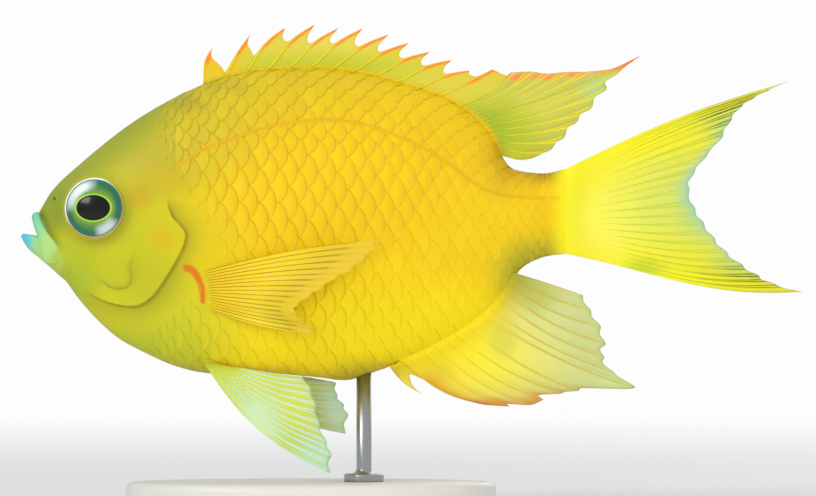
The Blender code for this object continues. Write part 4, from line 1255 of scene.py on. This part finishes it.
# %% Spiny dorsal fin
SPINE_ROOTS = (36.4, 88.3)
SPINE_TIPS = (
    (38.5, 33.5), (45.9, 36.0), (52.7, 37.2), (58.7, 37.9), (63.5, 37.2), (68.3, 37.1),
    (73.5, 35.9), (77.5, 34.2), (81.7, 32.4), (86.1, 30.8), (89.7, 28.7), (94.2, 28.9), (98.0, 28.3),
)
SPINE_WEB_LOWS = (0.12, 0.33, 0.56, 0.54, 0.53, 0.54, 0.55, 0.56, 0.56, 0.6, 0.72, 0.93, 0.93)
SPINE_WEB_SHAPE = ((0.0, 1.0), (0.08, 0.88), (0.15, 0.77), (0.27, 0.56), (0.4, 0.36),
                   (0.55, 0.18), (0.72, 0.05), (0.86, 0.0), (0.91, 0.04), (0.94, 0.17),
                   (0.965, 0.42), (0.985, 0.75), (1.0, 1.0))
FIRST_WEB_SHAPE = ((0.0, 1.0), (0.04, 0.86), (0.2, 0.56), (0.5, 0.3), (0.8, 0.07), (0.9, 0.0),
                   (0.94, 0.12), (0.965, 0.4), (0.985, 0.75), (1.0, 1.0))


def roots_on(line, station):
    """Root points at stations of the back's or the belly's line."""
    return stacked(station, np.interp(station, FINE, line))


def spine_bow(share):
    """The spines curve backwards; the last one bends with the first ray of the soft part."""
    return np.interp(share * 12, (0, 1, 2, 10, 12), (0.9, 0.3, 0.85, 0.6, -0.9))


def build_spiny_dorsal(finish):
    """A column reaches low + (1 - low) * the hook's shape between two spines."""
    def reach(columns):
        low = np.array(SPINE_WEB_LOWS)[columns.astype(int)]
        first, later = (through(shape, columns % 1) for shape in (FIRST_WEB_SHAPE, SPINE_WEB_SHAPE))
        return low + (1 - low) * np.where(columns < 2, first, later)

    fin = fan(roots_on(BACK_FAIR, np.linspace(*SPINE_ROOTS, 40)), SPINE_TIPS, 50,
              out_rows(40, 0.1), spine_bow, reach, 1.2)
    width = 0.55 * (1 - 0.75 * fin.go) / fin.spacing
    crest = np.sqrt(np.clip(1 - (fin.off / width) ** 2, 0, 1))
    half = WEB_HALF + sheath(fin, 0.7, 0.9) + (0.5 * (1 - 0.7 * fin.go) - WEB_HALF) * crest
    part = fin.columns % 1
    behind = bell(part - 0.1, 0.1) * (1 - soft_step(fin.columns, 11.2, 11.8))
    tips = 0.8 * soft_step(fin.go, 0.9, 1.0) * (1 - soft_step(fin.columns, 11.6, 12.0))
    streak = np.clip(behind * soft_step(fin.go, 0.34, 0.58) + tips, 0, 1)
    return add_fin("fin_dorsal_spiny", fin, 0.0, half, finish,
                   ("dorsal_fin_spiny",), {"ray": crest, "streak": streak})


spiny = fin_finish("spiny_web_paint", (208, 197, 60), (
    ((184, 190, 40), 60, 29, 26, 4, 0.9),
    ((216, 206, 92), 66, 35, 16, 3, 0.6),
    ((222, 186, 24), 40, 29, 6, 9, 1.0),
    ((172, 190, 44), 93, 19, 7, 6, 0.9),
), (232, 216, 16), (), (240, 184, 24), (), (0.75, 0.85), 0.06)
spiny.colour(spiny.mix(spiny.web, paint_chip(250, 116, 30), spiny.trait("streak") * 0.85))
build_spiny_dorsal(spiny)

# %% [markdown]
# The soft dorsal fin and the anal fin rise from the back and the belly and are drawn out to
# points. Their webs wave a little from side to side, more towards the margin.

# %% Soft dorsal and anal fins
SOFT_DORSAL_TIPS = (
    (98.0, 28.3), (101.8, 28.5), (105.2, 28.1), (108.8, 28.4), (113.4, 28.5), (118.6, 29.2),
    (123.7, 31.5), (119.3, 28.0), (116.9, 24.7), (113.9, 21.0), (111.0, 18.2), (108.5, 15.1),
    (105.8, 12.7), (102.4, 11.2),
)
ANAL_TIPS = (
    (80.5, -36.1), (92.9, -38.2), (97.7, -38.5), (102.0, -38.2), (104.5, -37.2), (108.2, -35.9),
    (111.4, -35.4), (122.7, -34.8), (118.6, -31.7), (116.6, -28.6), (116.9, -25.9),
    (115.9, -22.4), (113.9, -19.2), (112.3, -16.2),
)


ANAL_STEPS = (0.0, 0.03, 0.07, 0.0, 0.08, 0.01, 0.05)
ANAL_ROOTS = (73.8, 76.6, 81.0, 83.2, 85.5, 87.4, 90.0, 92.9, 94.3, 95.9, 97.0, 97.9, 98.6, 99.3)


def build_soft_dorsal(finish):
    """Bow from -0.9 to -0.6 mm; wave is 0.7 sin(2.2 pi share + 0.6) out^2, and the web between
    two rays is pleated by 0.15 mm."""
    fin = fan(roots_on(BACK_FAIR, np.linspace(SPINE_ROOTS[1], 96.3, 30)), SOFT_DORSAL_TIPS, 24,
              out_rows(48, 0.08), lambda share: -0.9 + 0.3 * share, stepped(0.07, 7), 1.2)
    crest = soft_rays(fin, 0.5, 0.78, 0.11)
    half = thickness(fin, crest, sheath(fin, 0.9, 1.1))
    aside = (0.7 * (np.sin(math.pi * 2.2 * fin.share + 0.6) - 0.56) * fin.out**2
             + pleat(fin, 0.15))
    return add_fin("fin_dorsal_soft", fin, aside, half, finish, ("dorsal_fin_soft",),
                   {"ray": crest * soft_step(fin.out, 0.06, 0.25)})


def build_anal(finish):
    """The rays sag towards the front; the web behind the free first spine is cut down to 0.22.
    The steps of the margin are deepest behind the third and the fifth ray. A streak of colour
    follows the leading spine, and the margin's own band thins out behind."""
    behind_first = ((0, 1), (0.06, 0.75), (0.25, 0.42), (0.55, 0.22), (0.85, 0.5), (1, 1))

    def reach(columns):
        step = np.array(ANAL_STEPS)[np.minimum(columns.astype(int), len(ANAL_STEPS) - 1)]
        later = np.where(columns < 7, stepped(step, 1)(columns), scallop(0.04)(columns))
        return np.where(columns < 1, through(behind_first, columns), later)

    def bow(share):
        return np.interp(13 * share, (0.8, 1.0, 6, 11, 13), (-0.7, -1.7, -1.2, -1.2, 0.1))

    station = np.interp(np.linspace(0, 13, 131), np.arange(14), ANAL_ROOTS)
    fin = fan(roots_on(BELLY_FAIR, station), ANAL_TIPS, 24, out_rows(48, 0.1), bow, reach)
    spine = np.sqrt(np.clip(1 - (fin.off * fin.spacing / (0.5 * (1 - 0.7 * fin.go))) ** 2, 0, 1))
    first_two = np.round(fin.columns)[None] < 1.5
    crest = np.where(first_two, spine, soft_rays(fin, 1.1, 1.1, 0.22))
    tall = np.where(first_two, 0.55, RAY_HALF)
    half = thickness(fin, crest, sheath(fin, 2.2, 2.2), tall)
    aside = (0.7 * np.sin(2 * math.pi * fin.share) * fin.out**2
             + pleat(fin, 0.15) * (fin.columns > 1))
    behind = np.exp(-np.clip(fin.columns - 1, 0, None) * fin.spacing / 2.2) * (fin.columns >= 1)
    streak = behind * (1 - 0.8 * crest) * soft_step(fin.go, 0.1, 0.4)
    rays = crest * soft_step(fin.out, 0.05, 0.3) * (1 - 0.8 * soft_step(fin.out, 0.9, 0.97))
    return add_fin("fin_anal", fin, aside, half, finish, ("anal_fin",),
                   {"ray": rays, "streak": streak},
                   np.interp(fin.columns, (0, 1, 6, 8, 13), (0.5, 2.0, 1.5, 0.4, 0.35)), 3.6)


soft_dorsal = fin_finish("soft_dorsal_paint", (196, 196, 72), (
    ((164, 182, 38), 95, 16, 11, 9, 1.0),
    ((184, 184, 36), 102, 12, 7, 3.5, 0.7),
    ((202, 200, 88), 105, 24, 9, 5, 0.6),
    ((180, 208, 132), 116, 25, 6, 5, 0.9),
    ((250, 140, 76), 98.9, 27.4, 3.6, 1.1, 1.0),
    ((250, 140, 76), 105.0, 27.5, 4.4, 1.0, 1.0),
    ((250, 140, 76), 111.0, 27.9, 3.4, 0.9, 0.9),
    ((250, 150, 86), 116.0, 28.5, 3.0, 0.9, 0.8),
    ((244, 126, 54), 121.6, 30.4, 5.6, 2.6, 1.0),
), (232, 216, 20), (
    ((248, 132, 66), 121.6, 30.4, 5.6, 2.6, 1.0),
    ((232, 160, 60), 106.0, 29.4, 14.0, 2.2, 0.8),
), (166, 186, 56), (
    ((244, 160, 70), 108.0, 30.0, 16.0, 4.0, 1.0),
), (1.0, 0.6))
build_soft_dorsal(soft_dorsal)
anal = fin_finish("anal_paint", (204, 212, 136), (
    ((236, 224, 78), 88, -31, 24, 14, 1.0),
    ((242, 228, 46), 84, -27, 18, 10, 1.0),
    ((216, 186, 44), 82.5, -31.5, 5, 4, 0.6),
    ((176, 184, 92), 103, -16, 6.5, 5, 0.85),
    ((190, 192, 76), 96.4, -24.6, 4, 5.5, 0.6),
    ((208, 146, 40), 94.0, -38.9, 8.0, 2.6, 1.0),
    ((222, 162, 46), 105, -37.9, 7, 2.4, 1.0),
    ((204, 222, 150), 120, -34, 6, 4, 0.8),
), (196, 172, 58), (
    ((226, 206, 40), 86, -29, 16, 12, 1.0),
), (156, 184, 84), (
    ((216, 134, 34), 90, -36, 30, 12, 1.0),
), (0.85, 0.9))
anal.colour(anal.mix(anal.web, paint_chip(208, 128, 32), anal.trait("streak") * 0.95))
build_anal(anal)

# %% [markdown]
# The tail fin is forked. Its outer rays are stout and long and its middle rays short, and all
# of them grow from the upright end of the tail.

# %% Tail fin
TAIL_TIPS = (
    (153.7, 26.6), (149.3, 24.6), (146.5, 23.1), (144.1, 21.4), (142.0, 18.6), (140.2, 15.2),
    (137.0, 11.3), (134.6, 8.0), (133.7, 4.9),
    (134.8, 1.2), (136.5, -1.6), (138.6, -4.6), (141.0, -7.4), (144.0, -9.9), (147.4, -12.2),
    (150.4, -13.8), (156.3, -15.6),
)


def build_tail_fin(finish):
    """Both lobes in one fan. The upper edge bows by 1.3 mm and the lower by 2.1 mm, later on
    its way; at the root it is as thick as the end of the tail."""
    roots = stacked(TAIL_ROOT, np.linspace(9.0, -8.0, 50))
    fin, lower = (fan(roots, TAIL_TIPS, 28, out_rows(56, 0.05), bow, scallop(0.018), late, 1.5)
                  for bow, late in ((lambda share: 1.3 * np.clip(1 - 2 * share, 0, 1), 1.0),
                                    (lambda share: -2.1 * np.clip(2 * share - 1, 0, 1), 1.5)))
    fin.flat = np.where((fin.share > 0.5)[None, :, None], lower.flat, fin.flat)
    crest = soft_rays(fin, 0.4, 0.75, 0.12) * soft_step(fin.out, 0.2, 0.5)
    outer = np.abs(2 * fin.share - 1)
    half = thickness(fin, crest, 0.0, RAY_HALF * (1 + 0.5 * outer**4))
    height = fin.flat[1][None, :, 1]
    ends = np.where(height > 0.4, (height - 0.4) / 8.6, (0.4 - height) / 8.4)
    root = 1.4 * np.sqrt(np.clip(1 - ends**2, 0.05, 1))
    half = half + (root - half) * np.clip(1 - fin.out / 0.24, 0, 1) ** 2
    aside = 0.5 * np.sin(math.pi * 2.2 * outer + 0.6) * fin.out**2 + pleat(fin, 0.12)
    rear = np.exp(-((1 - fin.out) * fin.length / 1.8) ** 1.5) * bell(fin.share - 0.5, 0.27)
    return add_fin("fin_tail", fin, aside, half, finish,
                   ("caudal_fin_upper", "caudal_fin_lower"), {"ray": crest, "rear": rear})


tail_paint = fin_finish("tail_fin_paint", (234, 224, 34), (
    ((230, 220, 28), 111, 0, 7, 13, 0.9),
    ((238, 230, 82), 118, -1, 9, 10, 0.9),
    ((216, 222, 94), 131, 3, 16, 12, 1.0),
    ((236, 226, 20), 124, 14.6, 14, 3.8, 0.9),
    ((228, 228, 44), 140, 21.5, 10, 3.5, 0.8),
    ((206, 220, 96), 141, 17, 6, 5, 0.7),
    ((236, 230, 24), 132, -13.5, 20, 3.0, 0.9),
    ((196, 216, 96), 143, -9.0, 7, 4, 0.8),
    ((194, 214, 120), 135, 2, 5.0, 9, 0.8),
    ((196, 208, 44), 124.6, -10.6, 5.0, 2.6, 0.9),
    ((228, 240, 150), 150, 25, 5, 2, 0.5),
), (186, 206, 60), (
    ((226, 214, 20), 118, 8, 10, 10, 0.8),
    ((56, 86, 34), 143.0, 20.5, 11.0, 7.0, 1.0),
    ((82, 108, 32), 146, -12.6, 13, 4.0, 1.0),
), (150, 190, 90), (
    ((96, 112, 70), 148, 25.0, 8, 4, 0.9),
    ((96, 112, 70), 152, -13.4, 8, 2.4, 0.8),
), (1.0, 0.5), 0.12)
tail_blue = tail_paint.mix(tail_paint.web, paint_chip(142, 202, 192),
                           tail_paint.trait("rear") * 0.65)
on_fin = tail_paint.ease(tail_paint.place()[0], 109.0, 112.0)
tail_paint.colour(tail_paint.mix(body_paint(tail_paint), tail_blue, on_fin))
build_tail_fin(tail_paint)

# %% [markdown]
# The paired fins are fans too. A pectoral fin grows from a fleshy pad behind the gill cover,
# hugs the flank and then stands out; the pelvic fins hang side by side under the belly, each
# led by its longest ray.

# %% Paired fins
PECTORAL_ROOT = ((37.0, -11.4), (38.0, -19.2))
PECTORAL_TIPS = (
    (72.4, -5.0), (71.2, -6.9), (68.8, -9.1), (66.2, -11.2), (63.0, -13.0), (60.3, -14.9),
    (57.7, -16.6), (55.6, -18.2), (55.3, -19.6), (56.7, -21.2), (58.9, -22.6), (58.4, -24.0),
)
PELVIC_ASIDE = 4.2
PELVICS = {
    "left": (LEFT, 0.22, ((61.9, -51.6), (62.2, -47.9), (61.2, -45.2), (59.8, -41.6), (59.0, -37.8),
                          (57.9, -34.6), (56.2, -32.2))),
    "right": (RIGHT, 0.4, ((64.8, -44.2), (65.4, -40.4), (64.5, -38.2), (63.2, -36.2), (62.9, -33.9),
                           (60.6, -33.3), (58.0, -32.8))),
}


def build_pectoral(word, side, finish):
    """Rises from the pad over the first fifth of its way to 0.6 mm clear of it, plus
    9 off^1.2 (1 - 0.35 share), where off counts from 0.14 of the way out. The row ahead of the
    root is buried."""
    fin = fan(PECTORAL_ROOT, PECTORAL_TIPS, 30, out_rows(46, 0.02),
              lambda share: 0.9 - 1.6 * share, scallop(0.025), rays=1.5)
    crest = soft_rays(fin, 0.5, 1.1, 0.075)
    off = np.clip((fin.out - 0.14) / 0.86, 0, 1)
    clear = 0.05 + 0.55 * soft_step(fin.out, 0.0, 0.2) + 9.0 * off**1.2 * (1 - 0.35 * fin.share)
    clear[0] -= 1.0
    aside = side * (flank(fin.flat[..., 0], fin.flat[..., 1]) + clear + pleat(fin, 0.14))
    return add_fin(f"fin_pectoral_{word}", fin, aside, thickness(fin, crest), finish,
                   (f"pectoral_fin_{word}",), {"ray": crest * (1 - soft_step(fin.out, 0.8, 0.88))})


def build_pelvic(word, finish):
    """Root under the belly, PELVIC_ASIDE beside the keel; below it the fin splays outwards by
    a share of its drop."""
    side, splay, tips = PELVICS[word]
    station = np.linspace(36.7, 42.6, 20)
    _, belly, level, wide = ring_at(station)
    height = level - (level - belly) * np.sqrt(1 - (PELVIC_ASIDE / wide) ** 2)
    fin = fan(stacked(station, height), tips, 48, out_rows(40, 0.12),
              lambda share: -2.9 + 2.6 * share, scallop(0.02), rays=2)
    crest = soft_rays(fin, 0.6, 1.1, 0.11)
    half = thickness(fin, crest, sheath(fin, 0.5, 1.0))
    drop = np.clip(fin.flat[1][None, :, 1] - fin.flat[..., 1], 0, None)
    aside = side * (PELVIC_ASIDE + splay * drop + 1.1 * fin.out * fin.share + pleat(fin, 0.12))
    return add_fin(f"fin_pelvic_{word}", fin, aside, half, finish,
                   (f"pelvic_fin_{word}",), {"ray": crest * soft_step(fin.out, 0.05, 0.3)})


pectoral = fin_finish("pectoral_paint", (236, 206, 34), (
    ((236, 198, 24), 42, -15, 7, 8, 0.7),
    ((236, 202, 60), 68, -9, 8, 7, 0.6),
    ((244, 210, 60), 59, -18, 6, 8, 0.5),
    # painted light: a paler lower lobe, which lies in shade
    ((250, 224, 56), 51, -20.5, 9, 3.5, 0.8),
), (150, 118, 22), (), (246, 210, 64), (), (1.0, 0.3), 0.4)
pelvic = fin_finish("pelvic_paint", (196, 212, 94), (
    ((206, 214, 60), 44, -32, 9, 5, 0.7),
    ((214, 224, 90), 56, -37, 7, 8, 0.8),
    ((204, 228, 172), 48, -42, 6, 8, 0.8),
    ((190, 226, 180), 60, -49, 8, 6, 0.8),
    # painted light: paler over the right fin, which lies in the shadow of the body and the left fin
    ((224, 244, 200), 63.5, -39, 4.5, 8, 0.85),
), (200, 232, 240), (), (160, 214, 176), (), (0.9, 0.6), 0.15)
for word, side in SIDES:
    build_pectoral(word, side, pectoral)
    build_pelvic(word, pelvic)

# %% [markdown]
# The stand is made like a shop fitting: an oval plate of pale lacquered board with a rounded
# edge, and a steel rod turned in one piece with its foot. Both are profiles carried round.

# %% Stand
BASE_CENTRE = 58.0
BASE_SIZE = (74.0, 48.0, 4.5)
# inset from the outline and rise of the plate's rings above its quarter round
PLATE_TOP = ((2.9, 4.5), (3.0, 4.42), (3.15, 4.2), (3.3, 4.42), (3.4, 4.5), (12, 4.5), (23.5, 4.5))
EDGE_ROUND = 1.6
FOOT = ((3.7, 0.0), (3.95, 0.05), (4.0, 0.15), (4.0, 1.2), (3.9, 1.45), (3.6, 1.6))
ROD_STATION = 68.6
ROD_RADIUS = 1.5
FILLET = 1.1


def build_base(finish):
    """Ovals inset from the outline by the profile: straight side, a quarter round, and a fine
    groove 3 mm inside the edge."""
    turn = full_turn(200)
    angle = np.linspace(0, math.pi / 2, 14)
    length, depth, height = BASE_SIZE
    top_inset, top_rise = np.array(PLATE_TOP).T
    inset = np.concatenate([[0.6, 0.15, 0.0], EDGE_ROUND * (1 - np.cos(angle)), top_inset])
    shoulder = height - EDGE_ROUND + EDGE_ROUND * np.sin(angle)
    rise = np.concatenate([[0.0, 0.12, 0.4], shoulder, top_rise])
    points, faces = tube_with_ends(stacked(
        BASE_CENTRE + (length / 2 - inset)[:, None] * np.cos(turn),
        (depth / 2 - inset)[:, None] * np.sin(turn), rise[:, None] - MIDLINE_HEIGHT))
    return add_piece("stand_plate", points, faces, finish, ("stand_base",))


def build_rod(finish):
    """Rings of a radius at a height: foot with a bevel, a small fillet, then the plain rod."""
    low = -MIDLINE_HEIGHT + BASE_SIZE[2]
    top = float(np.interp(ROD_STATION, FINE, BELLY_FAIR)) + 1.5
    fillet = np.linspace(0, math.pi / 2, 8)
    foot_radius, foot_rise = np.array(FOOT).T
    narrower, higher = ROD_RADIUS + FILLET * (1 - np.sin(fillet)), FILLET * (1 - np.cos(fillet))
    radius = np.concatenate([foot_radius, narrower, [ROD_RADIUS]])
    rise = np.concatenate([foot_rise, FOOT[-1][1] + higher, [top - low]])
    turn = full_turn(64)
    points, faces = tube_with_ends(stacked(
        ROD_STATION + radius[:, None] * np.cos(turn), radius[:, None] * np.sin(turn),
        low + rise[:, None]))
    return add_piece("stand_post", points, faces, finish, ("stand_rod",))


lacquer = Finish("lacquered_board", roughness=0.42, coat_weight=0.2, coat_roughness=0.25)
lacquer.colour(lacquer.mix(paint_chip(226, 224, 218), paint_chip(214, 212, 205),
                           lacquer.noise(20.0, 3.0)))
lacquer.bump(lacquer.noise(0.6, 2.0), 0.1, 0.03)
steel = Finish("brushed_steel", metallic=1.0)
brushed = steel.noise(0.5, 3.0, (1, 1, 14))
steel.colour(steel.mix(paint_chip(196, 198, 200), paint_chip(168, 170, 174), brushed))
steel.drive(roughness=0.24 + brushed * 0.16)
steel.bump(brushed, 0.12, 0.03)
build_base(lacquer)
build_rod(steel)

# %% [markdown]
# The floor is a pale disc that fades into the white surroundings, so no horizon shows. A large
# soft lamp in front on the left gives the glints. Others fill in from the right and from low in
# front, and weaker ones from above and behind draw the back.

# %% Floor and light
SEEN_WHITE = 0.98
AMBIENT_LIGHT = 0.6


def build_floor():
    """A disc whose paint gives way to nothing with the distance from the stand. It lies a
    little under the plate."""
    bpy.ops.mesh.primitive_circle_add(vertices=96, radius=2.0, fill_type="NGON",
                                      location=(0, 0, -0.2 * MM))
    floor = bpy.context.object
    floor.name = "floor"
    finish = Finish("floor_paint", roughness=0.6)
    finish.shader.inputs["Base Color"].default_value = paint_chip(238, 238, 236)
    spot = finish.node("TexCoord", out=3)
    x, y = (finish.node("SeparateXYZ", {0: spot}, out=axis) for axis in (0, 1))
    far = oval_reach(x, y)
    finish.drive(alpha=finish.ease(far, 0.9, 0.15))
    floor.data.materials.append(finish.material)
    return floor


def add_lamp(name, place, size, power, mirrored=True):
    """An area lamp aimed at the fish. Only some lamps are mirrored in glossy surfaces, so that
    the eye carries one glint."""
    lamp = bpy.data.lights.new(name, "AREA")
    lamp.shape, lamp.size, lamp.energy = "DISK", size, power
    thing = bpy.data.objects.new(name, lamp)
    thing.location = place
    aim = Vector((0, 0, 0.055)) - Vector(place)
    thing.rotation_euler = aim.to_track_quat("-Z", "Y").to_euler()
    thing.visible_camera = False
    thing.visible_glossy = mirrored
    bpy.context.scene.collection.objects.link(thing)
    return thing


build_floor()
add_lamp("key_lamp", (-0.95, -0.85, 0.8), 0.55, 5.8)
add_lamp("fill_lamp", (0.9, -0.9, 0.3), 0.8, 2.4, False)
add_lamp("low_lamp", (-0.1, -1.1, 0.05), 0.7, 5.4, False)
add_lamp("top_lamp", (0.05, 0.25, 1.1), 0.9, 1.0)
add_lamp("back_lamp", (0.4, 1.1, 0.6), 0.8, 2.0)
world = bpy.data.worlds.new("studio")
bpy.context.scene.world = world
world.use_nodes = True
sky = world.node_tree.nodes
seen = sky.new("ShaderNodeBackground")
seen.inputs[0].default_value = (1, 1, 1, 1)
seen.inputs[1].default_value = SEEN_WHITE
ambient = sky["Background"]
ambient.inputs[0].default_value = (0.96, 0.98, 1, 1)
ambient.inputs[1].default_value = AMBIENT_LIGHT
which, both = sky.new("ShaderNodeLightPath"), sky.new("ShaderNodeMixShader")
link = world.node_tree.links.new
link(which.outputs["Is Camera Ray"], both.inputs[0])
link(ambient.outputs[0], both.inputs[1])
link(seen.outputs[0], both.inputs[2])
link(both.outputs[0], sky["World Output"].inputs[0])
bpy.context.scene.view_settings.view_transform = "Standard"

# %% [markdown]
# The camera looks straight at the left flank through a long lens, with its centre where the
# picture's centre is on the fish: 163.2 mm of the fish's plane fill the width of the frame.

# %% Camera
LENS, SENSOR_WIDTH = 350, 36
VIEW_WIDTH = 163.2
camera_data = bpy.data.cameras.new("camera")
camera_data.lens = LENS
camera_data.sensor_width = SENSOR_WIDTH
camera_data.clip_start, camera_data.clip_end = 0.01, 20
camera = bpy.data.objects.new("camera", camera_data)
distance = VIEW_WIDTH * MM * LENS / SENSOR_WIDTH
camera.location = (-0.0008, -distance, 0.0512)
camera.rotation_euler = (math.pi / 2, 0, 0)
bpy.context.scene.collection.objects.link(camera)
bpy.context.scene.camera = camera
print("camera distance:", round(distance, 4), "m")
